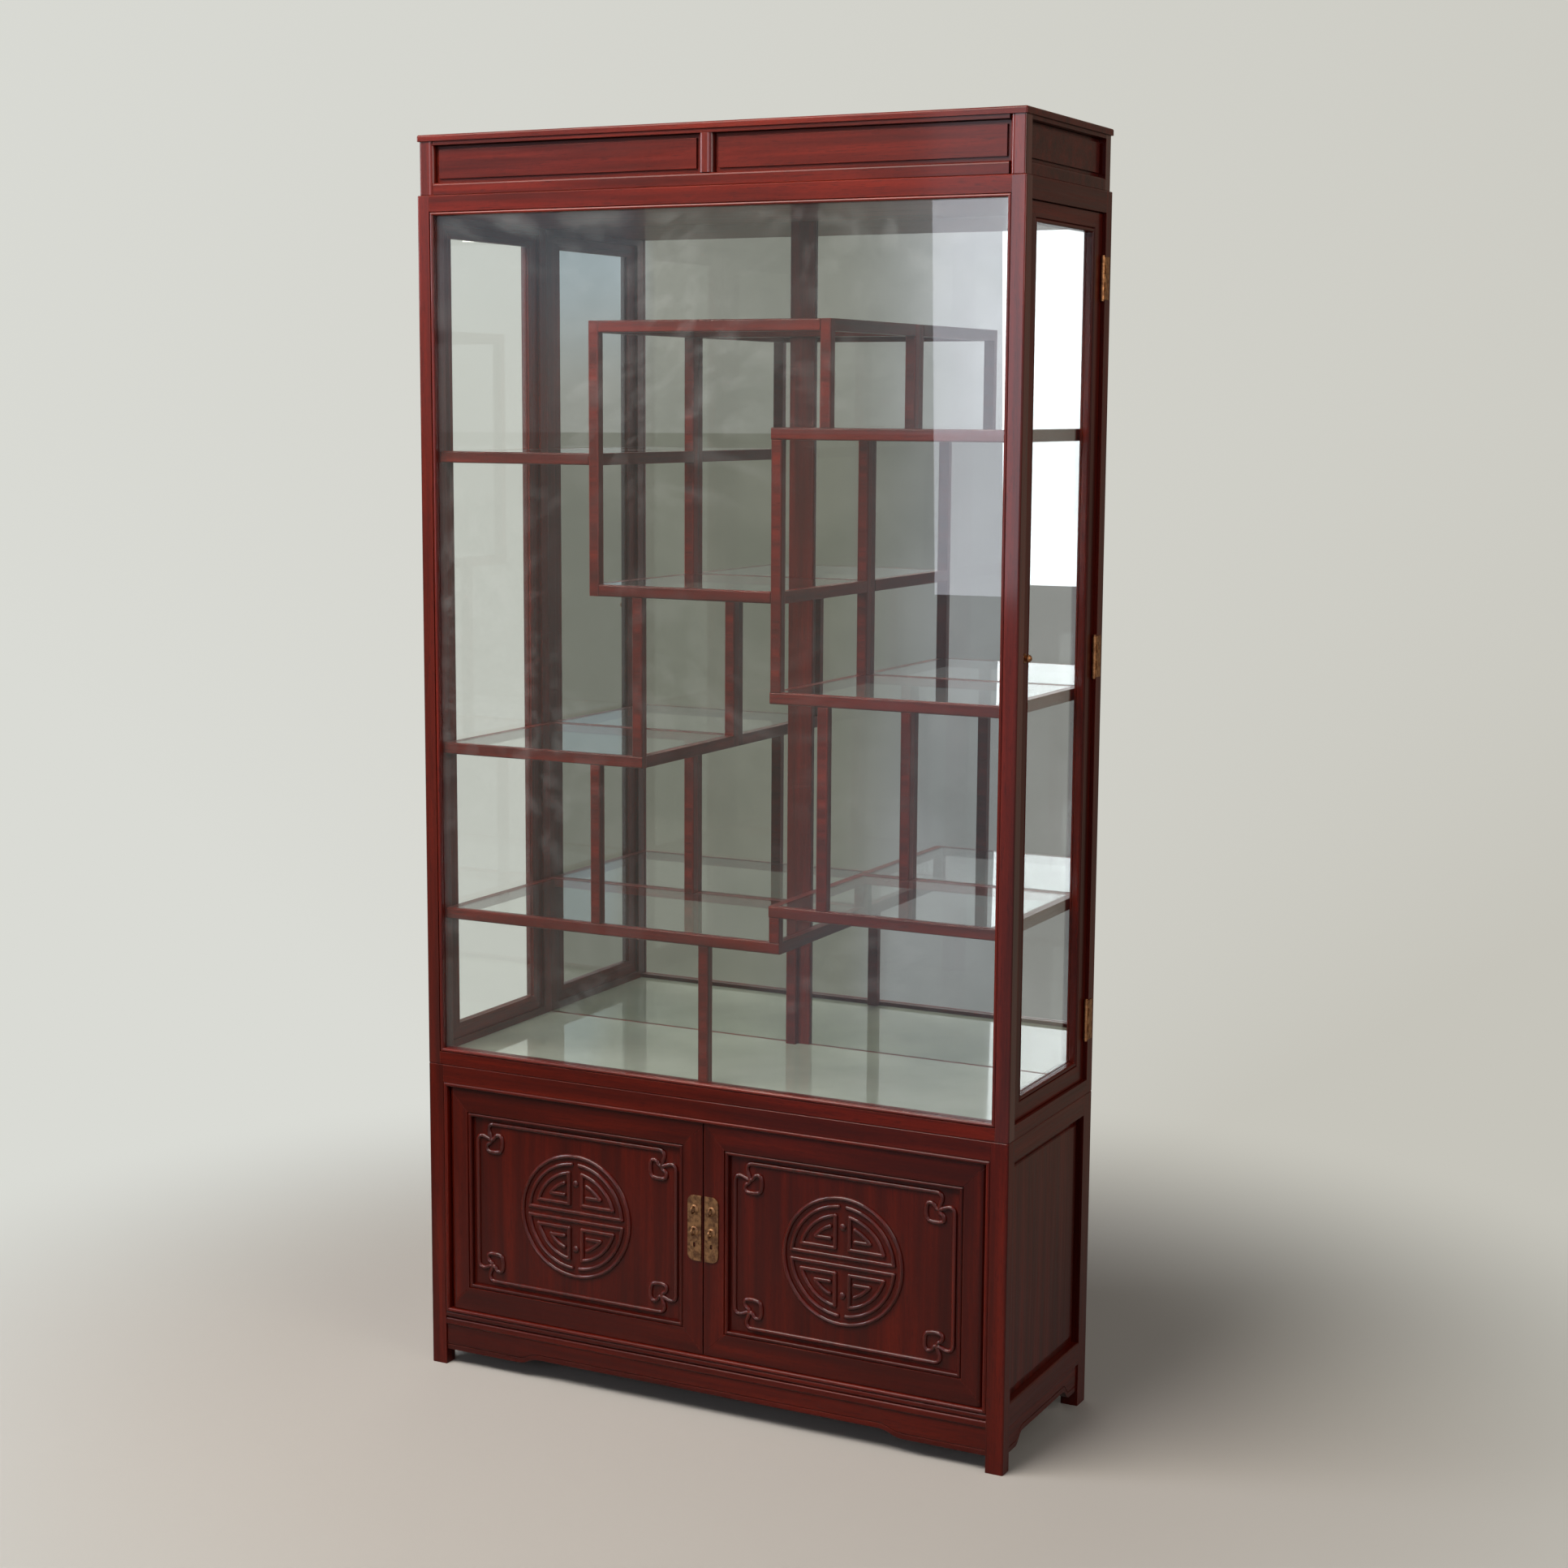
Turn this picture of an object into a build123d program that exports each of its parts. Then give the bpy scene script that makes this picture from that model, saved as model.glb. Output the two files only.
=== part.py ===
from build123d import *
import os

os.makedirs("parts", exist_ok=True)

# Display cabinet in three stacked units: a cupboard with two carved doors, a glazed case with a
# lattice of staggered shelves and a glazed door in each side, and a low crown.
# Millimetres: x to the right, y to the back, z up. The origin is on the floor, midway between
# the two sides and midway between the frontmost and the rearmost point.

# ---- overall
case_width = 1016.0  # over the corner posts
case_depth = 346.0  # over the corner posts
base_height = 507.0  # cupboard unit
case_height = 1381.0  # glazed case
crown_height = 92.0  # crown
post_width = 28.0  # corner posts, seen from the front
joint_groove = 1.0  # chamfer on each side of a stacking joint
corner_radius = 3.0  # outer upright corners
glue_line = 0.1  # between members that are jointed
pane_gap = 0.5  # round a pane or a loose panel

# ---- mouldings
bead = 6.0  # half-round bead on the inner edge of a frame
quirk = 1.0  # small groove beside the bead

# ---- cupboard unit
base_post_front = 24.0  # depth of the front posts and rails
base_post_rear = 34.0  # depth of the rear posts
top_rail = 29.0  # front top rail
sill_low = 68.0
sill_high = 90.0
sill_round = 3.0
sill_middle = 80.5  # groove between the two beads of the front sill
sill_groove = 1.6
sill_groove_depth = 4.0
side_top_rail = 32.0
side_sill_high = 105.0
side_rail_width = 22.0
board = 12.0  # floor, top and panel boards
back_panel = 9.0
back_panel_inset = 6.0  # from the rear faces of the posts
raised_panel_recess = 8.0  # from the face of the frame to the raised field
raised_margin = 12.0  # width of the sunk margin round the field
raised_step = 4.0  # depth of the sunk margin below the field
apron_thickness = 16.0
apron_setback = 2.5
apron_low = 25.5
apron_foot = 134.0  # low part beside each front post
apron_rise = 10.0
apron_run = 45.0  # length of an ogee
side_apron_foot = 30.0
side_apron_rise = 17.0
side_apron_run = 30.0
apron_bead = 8.0  # bead along the lower edge of an apron
apron_quirk = 1.5  # width and depth of the groove above the bead

# ---- cupboard doors
lining_width = 7.0  # bead that lines the door opening
lining_proud = 1.5
door_gap = 1.0  # round the doors
meeting_gap = 2.0  # between the two doors
door_recess = 4.0
door_thickness = 20.0
door_stile = 42.0
door_rail = 45.0
door_panel_recess = 8.0
door_panel_thickness = 6.0
panel_tongue = 8.0  # depth of the panel groove
pivot_radius = 3.0
pivot_play = 0.05  # radial clearance of the pivots in their bushes
pivot_reach = 11.0  # past the end of the door
pivot_root = 20.0  # inside the door stile
bush_wall = 2.0
bush_depth = 12.0  # length of a pivot bush

# ---- carving on the doors
carving_height = 3.5
ridge = 7.5  # width of a carved ridge
border_inset = 9.0  # from the panel opening to the centre line of the border
border_start = 30.0  # from a corner of the border to its straight part
scroll_size = 45.0  # reach of a corner scroll along each border
medallion_radii = (99.0, 86.0, 72.0, 57.0)  # centre lines of the rings
medallion_bars = (7.0, 20.0, 34.0)  # heights of the bars above and below the middle
medallion_gaps = (7.0, 12.0, 21.0)  # half widths of the upright gaps in the inner rings
medallion_dot = 54.0  # height of the dots above and below the middle
dot_radius = 6.0

# ---- lock plates
plate_width = 24.0
plate_height = 105.0
plate_thickness = 2.0
plate_radius = 11.0  # outer corners
plate_inset = 2.0  # from the meeting edge of the door
plate_rise = 18.0  # middle of the plate above the middle of the door
keyhole_width = 4.0
keyhole_height = 8.0
keyhole_drop = 27.0  # below the middle of the plate
staple_radius = 5.0  # centre line of a staple ring
staple_wire = 1.6  # radius of its wire
staple_stand = 5.5  # from the plate to the middle of the ring
staple_rises = (30.0, -5.0)  # from the middle of the plate

# ---- glazed case
case_post_front = 22.0
case_post_rear = 25.0
front_head = 31.0  # front top rail
front_sill = 27.0  # front bottom rail
side_head = 32.0
side_sill = 23.0
stop_reach = 10.0  # door stops, past the edges of the side openings
glazing_bead = 6.0
glass_setback = 8.0
front_pane = 4.0
mirror_pane = 4.0
back_board = 9.0
rear_rebate = 6.0  # in the rear posts, for the mirror and the back board
mirror_stile = 44.0
mirror_stile_thickness = 6.0
ceiling_board = 18.0
floor_board = 15.0
floor_pane = 6.0
floor_strip = 4.0

# ---- side doors
side_recess = 6.0
side_thickness = 17.0
side_stile = 36.0
side_door_head = 29.0
side_door_sill = 33.0
side_glass_setback = 11.0
side_pane = 3.0
side_rebate = 8.0
knob_rise = 20.0  # above the middle of the door
knob_radius = 5.5
knob_neck = 3.0
knob_rose = 7.0
knob_rose_thickness = 1.5
knob_length = 11.5
magnet_radius = 3.5
magnet_thickness = 3.5

# ---- hinges of the side doors
hinge_length = 63.0
hinge_inset = 95.0  # from the ends of the door to the middle of the outer hinges
hinge_leaf = 1.5  # thickness of a leaf
door_leaf_width = 13.0  # let into the rear edge of the door
case_leaf_width = 18.0  # on the side of the rear post, from the pin
knuckle_radius = 3.4
knuckle_gap = 0.35  # from the knuckle to the door's face
knuckle_back = 0.75  # from the knuckle to the rear post
knuckle_count = 5
knuckle_space = 0.3
pin_radius = 1.6
pin_play = 0.05  # radial clearance of the pin in the knuckles
pin_head_radius = 2.6
pin_head = 2.0

# ---- lattice of shelves: heights above the foot of the case, posts from the middle of the cabinet
lattice_bar = 18.0
lattice_front_depth = 14.0
lattice_rear_depth = 16.0
lattice_setback = 17.0  # from the front face of the posts
lattice_round = 2.5
shelf_pane = 5.0
shelf_rebate = 5.0
box_top = 1179.0
right_upper_shelf = 1021.0
left_upper_shelf = 979.0
box_floor = 779.0
right_middle_shelf = 629.0
left_lower_shelf = 516.5
right_lower_shelf = 304.0
long_shelf = 248.0
box_left_post = -200.0
left_post = -124.0
foot_post = -8.0
inner_right_post = 114.0
box_right_post = 193.0

# ---- crown
crown_inset = 3.0
crown_slab = 10.0
crown_post_depth = 22.0
crown_sill = 19.0
crown_head = 6.0
crown_stile = 24.0
crown_round = 8.0
crown_panel_recess = 8.0
crown_margin = 6.0

# ---- places worked out from the sizes
lock_reach = plate_thickness + staple_stand + staple_radius + staple_wire - door_recess
front = -(case_depth - lock_reach) / 2  # front faces of the posts
back = front + case_depth
side = case_width / 2
inner = side - post_width  # inner faces of the posts
case_foot = base_height
case_head = base_height + case_height
crown_top = case_head + crown_height
hands = (-1, 1)
tolerance = 0.01


def block(x, y, z, mode=Mode.ADD):
    # a box that fills the ranges x, y and z of the piece being built
    middle = [(low + high) / 2 for low, high in (x, y, z)]
    with Locations(tuple(middle)):
        Box(x[1] - x[0], y[1] - y[0], z[1] - z[0], mode=mode)


def either(hand, near, far):
    # the range from near to far on the right, or its mirror image on the left
    return tuple(sorted((hand * near, hand * far)))


def facing(y):
    # upright plane at depth y that faces the front
    return Plane.XZ.offset(-y)


def outer_corners(piece, half_width, front_y, back_y):
    # upright edges at the outside corners of the cabinet
    def at_corner(edge):
        place = edge.center()
        at_end = min(abs(place.Y - front_y), abs(place.Y - back_y)) < tolerance
        return at_end and abs(abs(place.X) - half_width) < tolerance

    return piece.edges().filter_by(Axis.Z).filter_by(at_corner)


def joint_edges(piece, z, half_width, front_y):
    # edges at height z on the front and the sides of the cabinet
    def outside(edge):
        place = edge.center()
        on_side = abs(abs(place.X) - half_width) < tolerance
        return abs(place.Z - z) < tolerance and (on_side or abs(place.Y - front_y) < tolerance)

    return piece.edges().filter_by(outside)


def frame_bar(section, length, low_inner, high_inner, width):
    # bar from x = 0 to length, outer edge on z = 0, face on y = 0, mitred at 45 degrees
    # through the two ends of its inner edge
    with BuildPart() as bar:
        with BuildSketch(Plane.YZ):
            add(section)
        extrude(amount=length)
        low_mitre = Plane((low_inner, 0, width), z_dir=(1, 0, -1)).offset(glue_line)
        split(bisect_by=low_mitre, keep=Keep.TOP)
        high_mitre = Plane((high_inner, 0, width), z_dir=(-1, 0, -1)).offset(glue_line)
        split(bisect_by=high_mitre, keep=Keep.TOP)
    return bar.part


def mitred_frame(width, height, sides, section):
    # four bars round the origin with their faces on y = 0; sides holds their widths in the
    # order bottom, right, top, left, and section(width) draws a bar's section
    corners = ((-1, -1), (1, -1), (1, 1), (-1, 1))
    bars = []
    for i, own in enumerate(sides):
        length = width if i % 2 == 0 else height
        after = sides[(i + 1) % 4]
        bar = frame_bar(section(own), length, sides[i - 1], length - after, own)
        x, z = corners[i][0] * width / 2, corners[i][1] * height / 2
        bars.append(Location((x, 0, z), (0, -90 * i, 0)) * bar)
    return bars


def moulded_section(width, depth, slot_front, slot_back, slot_reach):
    # flat face, quirk and half-round bead on the inner edge, and a slot for a panel or a pane
    with BuildSketch() as section:
        with BuildLine():
            Polyline(
                (bead / 2, width),
                (depth, width),
                (depth, 0),
                (0, 0),
                (0, width - bead - quirk),
                (bead / 2, width - bead),
            )
            ThreePointArc((bead / 2, width - bead), (0, width - bead / 2), (bead / 2, width))
        make_face()
        with Locations(((slot_front + slot_back) / 2, width - slot_reach / 2)):
            Rectangle(slot_back - slot_front, slot_reach, mode=Mode.SUBTRACT)
    return section.sketch


def bead_section(width, depth):
    # strip with a half-round front
    with BuildSketch() as section:
        with BuildLine():
            Polyline((width / 2, width), (depth, width), (depth, 0), (width / 2, 0))
            ThreePointArc((width / 2, 0), (0, width / 2), (width / 2, width))
        make_face()
    return section.sketch


def apron_outline(half_span, foot, rise, run):
    # board with a raised middle between two ogees, seen square on
    ogee_start = half_span - foot
    ogee_end = ogee_start - run
    waist = (ogee_start + ogee_end) / 2
    high = apron_low + rise
    with BuildSketch() as outline:
        with BuildLine():
            Polyline((0, sill_low), (half_span, sill_low), (half_span, apron_low), (ogee_start, apron_low))
            Bezier((ogee_start, apron_low), (waist, apron_low), (waist, high), (ogee_end, high))
            Line((ogee_end, high), (0, high))
            mirror(about=Plane.YZ)
        make_face()
    return outline.sketch


def apron(face_plane, *shape):
    # the board, with a bead worked along its lower edge
    with BuildPart() as board_part:
        with BuildSketch(face_plane):
            add(apron_outline(*shape))
        extrude(amount=-apron_thickness)
        with BuildSketch(face_plane):
            with Locations((0, apron_bead)):
                add(apron_outline(*shape))
            with Locations((0, apron_bead + apron_quirk)):
                add(apron_outline(*shape), mode=Mode.SUBTRACT)
        extrude(amount=-apron_quirk, mode=Mode.SUBTRACT)
    return board_part.part


# ================================================================ cupboard unit
base_back = back - base_post_rear
rail_span = (-inner + glue_line, inner - glue_line)
base_side_span = (front + base_post_front + glue_line, base_back - glue_line)

with BuildPart() as base_posts:
    for hand in hands:
        block(either(hand, inner, side), (front, front + base_post_front), (0, base_height))
        block(either(hand, inner, side), (base_back, back), (0, base_height))
    fillet(outer_corners(base_posts, side, front, back), corner_radius)
    chamfer(joint_edges(base_posts, base_height, side, front), joint_groove)
base_posts.part.label = "base_posts"
export_step(base_posts.part, "parts/base_posts.step")

opening_top = base_height - top_rail
pivot_y = front + door_recess + door_thickness / 2
pivot_x = inner - lining_width - door_gap - door_thickness / 2
bush_radius = pivot_radius + pivot_play + bush_wall
bush_low = (sill_high + lining_width - bush_depth, sill_high + lining_width)
bush_high = (opening_top - lining_width, opening_top - lining_width + bush_depth)


def pivot_cylinders(radius, ranges, mode=Mode.ADD):
    # upright cylinders on the pivot axes of both cupboard doors
    for low, high in ranges:
        with Locations(*[(hand * pivot_x, pivot_y, (low + high) / 2) for hand in hands]):
            Cylinder(radius, high - low, mode=mode)


with BuildPart() as base_front_rails:
    block(rail_span, (front, front + base_post_front), (opening_top, base_height))
    block(rail_span, (front, front + base_post_front), (sill_low, sill_high))
    chamfer(joint_edges(base_front_rails, base_height, side, front), joint_groove)
    sill_edges = joint_edges(base_front_rails, sill_high, side, front)
    fillet(sill_edges + joint_edges(base_front_rails, sill_low, side, front), sill_round)
    groove_z = (sill_middle - sill_groove / 2, sill_middle + sill_groove / 2)
    block((-inner, inner), (front, front + sill_groove_depth), groove_z, mode=Mode.SUBTRACT)
    groove_edges = [edge for z in groove_z for edge in joint_edges(base_front_rails, z, side, front)]
    fillet(groove_edges, sill_round)
    pivot_cylinders(bush_radius, (bush_low, bush_high), mode=Mode.SUBTRACT)
base_front_rails.part.label = "base_front_rails"
export_step(base_front_rails.part, "parts/base_front_rails.step")

with BuildPart() as base_side_rails:
    for hand in hands:
        rail_x = either(hand, side - side_rail_width, side)
        block(rail_x, base_side_span, (base_height - side_top_rail, base_height))
        block(rail_x, base_side_span, (sill_low, side_sill_high))
    chamfer(joint_edges(base_side_rails, base_height, side, front), joint_groove)
    side_sill_edges = joint_edges(base_side_rails, side_sill_high, side, front)
    fillet(side_sill_edges + joint_edges(base_side_rails, sill_low, side, front), sill_round)
base_side_rails.part.label = "base_side_rails"
export_step(base_side_rails.part, "parts/base_side_rails.step")

rear_rail_y = (base_back + board, back)
with BuildPart() as base_rear_rails:
    block(rail_span, rear_rail_y, (opening_top, base_height))
    block(rail_span, rear_rail_y, (sill_low, sill_high))
base_rear_rails.part.label = "base_rear_rails"
export_step(base_rear_rails.part, "parts/base_rear_rails.step")

base_board_x = (-inner + pane_gap, inner - pane_gap)
with BuildPart() as base_back_panel:
    panel_back = back - back_panel_inset
    panel_z = (sill_high + pane_gap, opening_top - pane_gap)
    block(base_board_x, (panel_back - back_panel, panel_back), panel_z)
base_back_panel.part.label = "base_back_panel"
export_step(base_back_panel.part, "parts/base_back_panel.step")

base_board_y = (front + base_post_front + glue_line, base_back + board - glue_line)
with BuildPart() as base_floor_board:
    block(base_board_x, base_board_y, (sill_high - board, sill_high))
base_floor_board.part.label = "base_floor_board"
export_step(base_floor_board.part, "parts/base_floor_board.step")

with BuildPart() as base_top_board:
    block(base_board_x, base_board_y, (base_height - board, base_height))
base_top_board.part.label = "base_top_board"
export_step(base_top_board.part, "parts/base_top_board.step")

panel_face = side - raised_panel_recess
panel_y = (base_side_span[0] + pane_gap, base_side_span[1] - pane_gap)
panel_z = (side_sill_high + pane_gap, base_height - side_top_rail - pane_gap)
for hand, name in zip(hands, ("base_side_panel_left", "base_side_panel_right")):
    with BuildPart() as side_panel:
        sunk_face = panel_face - raised_step
        block(either(hand, sunk_face - board, sunk_face), panel_y, panel_z)
        field_y = (panel_y[0] + raised_margin, panel_y[1] - raised_margin)
        field_z = (panel_z[0] + raised_margin, panel_z[1] - raised_margin)
        block(either(hand, sunk_face, panel_face), field_y, field_z)
        field_edges = joint_edges(side_panel, field_z[0], panel_face, front)
        field_edges += joint_edges(side_panel, field_z[1], panel_face, front)
        chamfer(field_edges, raised_step / 2)
    side_panel.part.label = name
    export_step(side_panel.part, f"parts/{name}.step")

with BuildPart() as front_apron:
    add(apron(facing(front + apron_setback), inner - glue_line, apron_foot, apron_rise, apron_run))
front_apron.part.label = "front_apron"
export_step(front_apron.part, "parts/front_apron.step")

side_middle = (base_side_span[0] + base_side_span[1]) / 2
with BuildPart() as side_aprons:
    for hand in hands:
        outer_x = hand * (side - apron_setback)
        outer_face = Plane((outer_x, side_middle, 0), x_dir=(0, hand, 0), z_dir=(hand, 0, 0))
        half_span = (base_side_span[1] - base_side_span[0]) / 2
        add(apron(outer_face, half_span, side_apron_foot, side_apron_rise, side_apron_run))
side_aprons.part.label = "side_aprons"
export_step(side_aprons.part, "parts/side_aprons.step")

opening_middle = (sill_high + opening_top) / 2
lining_depth = base_post_front + lining_proud
lining_bars = mitred_frame(
    2 * (inner - glue_line),
    opening_top - sill_high,
    (lining_width,) * 4,
    lambda width: bead_section(width, lining_depth),
)
with BuildPart() as door_opening_bead:
    with Locations((0, front - lining_proud, opening_middle)):
        add(lining_bars)
    pivot_cylinders(bush_radius, (bush_low, bush_high), mode=Mode.SUBTRACT)
door_opening_bead.part.label = "door_opening_bead"
export_step(door_opening_bead.part, "parts/door_opening_bead.step")

with BuildPart() as pivot_bushes:
    pivot_cylinders(bush_radius, (bush_low, bush_high))
    pivot_cylinders(pivot_radius + pivot_play, (bush_low, bush_high), mode=Mode.SUBTRACT)
pivot_bushes.part.label = "pivot_bushes"
export_step(pivot_bushes.part, "parts/pivot_bushes.step")

# ================================================================ cupboard doors
door_edge = pivot_x + door_thickness / 2
door_width = door_edge - meeting_gap / 2
door_middle = (door_edge + meeting_gap / 2) / 2
door_low = sill_high + lining_width + door_gap
door_high = opening_top - lining_width - door_gap
door_height = door_high - door_low
door_face = front + door_recess
panel_front = door_face + door_panel_recess
panel_opening_x = (meeting_gap / 2 + door_stile, door_edge - door_stile)
panel_opening_z = (door_low + door_rail, door_high - door_rail)
tongue = panel_tongue - pane_gap


def door_section(width):
    panel_rear = door_panel_recess + door_panel_thickness
    return moulded_section(width, door_thickness, door_panel_recess, panel_rear, panel_tongue)


with BuildPart() as cupboard_door_frame:
    with Locations((door_middle, door_face, opening_middle)):
        add(mitred_frame(door_width, door_height, (door_rail, door_stile) * 2, door_section))
    # the hanging edge is rounded on the pivot axis, so it clears the lining as the door turns
    with BuildSketch(Plane.XY.offset(door_low)):
        with Locations(((pivot_x + meeting_gap / 2) / 2, pivot_y)):
            Rectangle(pivot_x - meeting_gap / 2, door_thickness)
        with Locations((pivot_x, pivot_y)):
            Circle(door_thickness / 2)
    extrude(amount=door_height, mode=Mode.INTERSECT)
    for low, high in ((door_low, door_low + pivot_root), (door_high - pivot_root, door_high)):
        with Locations((pivot_x, pivot_y, (low + high) / 2)):
            Cylinder(pivot_radius, high - low, mode=Mode.SUBTRACT)

with BuildPart() as cupboard_door_panel:
    panel_x = (panel_opening_x[0] - tongue, panel_opening_x[1] + tongue)
    panel_z = (panel_opening_z[0] - tongue, panel_opening_z[1] + tongue)
    block(panel_x, (panel_front, panel_front + door_panel_thickness), panel_z)

with BuildPart() as cupboard_door_pivots:
    for low, high in (
        (door_low - pivot_reach, door_low + pivot_root),
        (door_high - pivot_root, door_high + pivot_reach),
    ):
        with Locations((pivot_x, pivot_y, (low + high) / 2)):
            Cylinder(pivot_radius, high - low)


def carved_ring(radius):
    Circle(radius + ridge / 2)
    Circle(radius - ridge / 2, mode=Mode.SUBTRACT)


def medallion_ring(radius, gap, bar):
    # ring with an upright gap, whose two halves end at the height of the bar
    with BuildSketch() as ring:
        carved_ring(radius)
        Rectangle(2 * gap - ridge, 3 * radius, mode=Mode.SUBTRACT)
        Rectangle(3 * radius, 2 * bar, mode=Mode.SUBTRACT)
    return ring.sketch


def medallion():
    # round longevity medallion: rings, bars that join them, and a dot above and below
    outer, second, third, fourth = medallion_radii
    second_gap, third_gap, fourth_gap = medallion_gaps
    full_bar, half_bar, short_bar = medallion_bars
    with BuildSketch() as face:
        carved_ring(outer)
        add(medallion_ring(second, second_gap, full_bar))
        add(medallion_ring(third, third_gap, half_bar))
        add(medallion_ring(fourth, fourth_gap, short_bar))
        with Locations((0, full_bar), (0, -full_bar)):
            Rectangle(2 * second, ridge)
        for bar, radius, gap in ((half_bar, third, third_gap), (short_bar, fourth, fourth_gap)):
            start = gap - ridge / 2
            reach = (radius**2 - bar**2) ** 0.5
            corners = [(x * (start + reach) / 2, z * bar) for x in hands for z in hands]
            with Locations(*corners):
                Rectangle(reach - start, ridge)
        post_high = (third**2 - third_gap**2) ** 0.5
        posts = [(x * third_gap, z * (post_high + half_bar) / 2) for x in hands for z in hands]
        with Locations(*posts):
            Rectangle(ridge, post_high - half_bar)
        with Locations((0, medallion_dot), (0, -medallion_dot)):
            Circle(dot_radius)
    return face.sketch


def corner_scroll():
    # cloud scroll for the lower left corner: a band that turns in, crosses itself and curls
    # back, the same on both sides of the diagonal, from the straight border to the tip
    half = (
        (0.67, 0.0),
        (0.48, 0.1),
        (0.48, 0.27),
        (0.58, 0.58),
        (0.37, 0.83),
        (0.43, 1.0),
        (0.82, 1.02),
        (0.97, 0.97),
    )
    points = [(u * scroll_size, v * scroll_size) for u, v in half]
    points += [(v, u) for u, v in reversed(points[:-1])]
    with BuildSketch() as scroll:
        for start, stop in zip(points, points[1:]):
            SlotCenterPoint(((start[0] + stop[0]) / 2, (start[1] + stop[1]) / 2), stop, ridge)
    return scroll.sketch


border_x = (panel_opening_x[0] + border_inset, panel_opening_x[1] - border_inset)
border_z = (panel_opening_z[0] + border_inset, panel_opening_z[1] - border_inset)

with BuildPart() as cupboard_door_carving:
    with BuildSketch(facing(panel_front)):
        with Locations((door_middle, opening_middle)):
            add(medallion())
        for z in border_z:
            with Locations((door_middle, z)):
                Rectangle(border_x[1] - border_x[0] - 2 * border_start, ridge)
        for x in border_x:
            with Locations((x, opening_middle)):
                Rectangle(ridge, border_z[1] - border_z[0] - 2 * border_start)
        for turn, x, z in (
            (0, border_x[0], border_z[0]),
            (90, border_x[1], border_z[0]),
            (180, border_x[1], border_z[1]),
            (270, border_x[0], border_z[1]),
        ):
            with Locations(Location((x, z, 0), (0, 0, turn))):
                add(corner_scroll())
    extrude(amount=carving_height)

plate_x = (meeting_gap / 2 + plate_inset, meeting_gap / 2 + plate_inset + plate_width)
plate_centre = ((plate_x[0] + plate_x[1]) / 2, opening_middle + plate_rise)
with BuildPart() as cupboard_lock_plate:
    with BuildSketch(facing(door_face)) as plate_outline:
        with Locations(plate_centre):
            Rectangle(plate_width, plate_height)
        fillet(plate_outline.vertices().group_by(Axis.X)[-1], plate_radius)
        with Locations((plate_centre[0], plate_centre[1] - keyhole_drop)):
            SlotOverall(keyhole_height, keyhole_width, rotation=90, mode=Mode.SUBTRACT)
    extrude(amount=plate_thickness)
    ring_y = door_face - plate_thickness - staple_stand
    for rise in staple_rises:
        ring_z = plate_centre[1] + rise
        with BuildSketch(Plane((plate_centre[0], ring_y, ring_z + staple_radius), z_dir=(0, 1, 0))):
            Circle(staple_wire)
        revolve(axis=Axis((0, ring_y, ring_z), (1, 0, 0)))

cupboard_door_pieces = (
    ("frame", cupboard_door_frame.part),
    ("panel", cupboard_door_panel.part),
    ("carving", cupboard_door_carving.part),
    ("lock_plate", cupboard_lock_plate.part),
    ("pivot_pins", cupboard_door_pivots.part),
)
for hand in ("left", "right"):
    for piece_name, piece in cupboard_door_pieces:
        with BuildPart() as door_piece:
            add(piece if hand == "right" else piece.mirror(Plane.YZ))
        door_piece.part.label = f"cupboard_door_{hand}_{piece_name}"
        export_step(door_piece.part, f"parts/cupboard_door_{hand}_{piece_name}.step")

# ================================================================ glazed case
case_front_back = front + case_post_front  # rear faces of the front posts
case_back_front = back - case_post_rear  # front faces of the rear posts
side_opening_z = (case_foot + side_sill, case_head - side_head)
stop_x = side - side_recess - side_thickness - door_gap  # face of the door stops
pane_y = (front + glass_setback, front + glass_setback + front_pane)
mirror_face = back - back_board - mirror_pane
case_z = (case_foot, case_head)
front_opening_z = (case_foot + front_sill, case_head - front_head)
rebate_z = (front_opening_z[0] - glazing_bead, front_opening_z[1] + glazing_bead)
floor_top = case_foot + floor_board
deck_top = floor_top + floor_pane


def stacking_grooves(piece):
    # chamfers at the joints under and over the case
    edges = joint_edges(piece, case_foot, side, front) + joint_edges(piece, case_head, side, front)
    chamfer(edges, joint_groove)


with BuildPart() as case_front_posts:
    for hand in hands:
        block(either(hand, inner + glazing_bead, side), (front, case_front_back), case_z)
        block(either(hand, inner, side), (pane_y[1], case_front_back), case_z)
        stop_y = (case_front_back, case_front_back + stop_reach)
        block(either(hand, inner, stop_x), stop_y, side_opening_z)
    fillet(outer_corners(case_front_posts, side, front, back), corner_radius)
    stacking_grooves(case_front_posts)
    magnet_y = case_front_back + stop_reach / 2
    magnet_z = [end + turn * side_door_sill for end, turn in zip(side_opening_z, (1, -1))]
    for hand in hands:
        for z in magnet_z:
            hole = Plane((hand * stop_x, magnet_y, z), z_dir=(-hand, 0, 0))
            with Locations(hole):
                Cylinder(magnet_radius, 2 * magnet_thickness, mode=Mode.SUBTRACT)
case_front_posts.part.label = "case_front_posts"
export_step(case_front_posts.part, "parts/case_front_posts.step")

with BuildPart() as door_magnets:
    for hand in hands:
        for z in magnet_z:
            centre_x = hand * (stop_x - magnet_thickness / 2)
            with Locations(Plane((centre_x, magnet_y, z), z_dir=(-hand, 0, 0))):
                Cylinder(magnet_radius, magnet_thickness)
door_magnets.part.label = "door_magnets"
export_step(door_magnets.part, "parts/door_magnets.step")

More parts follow.
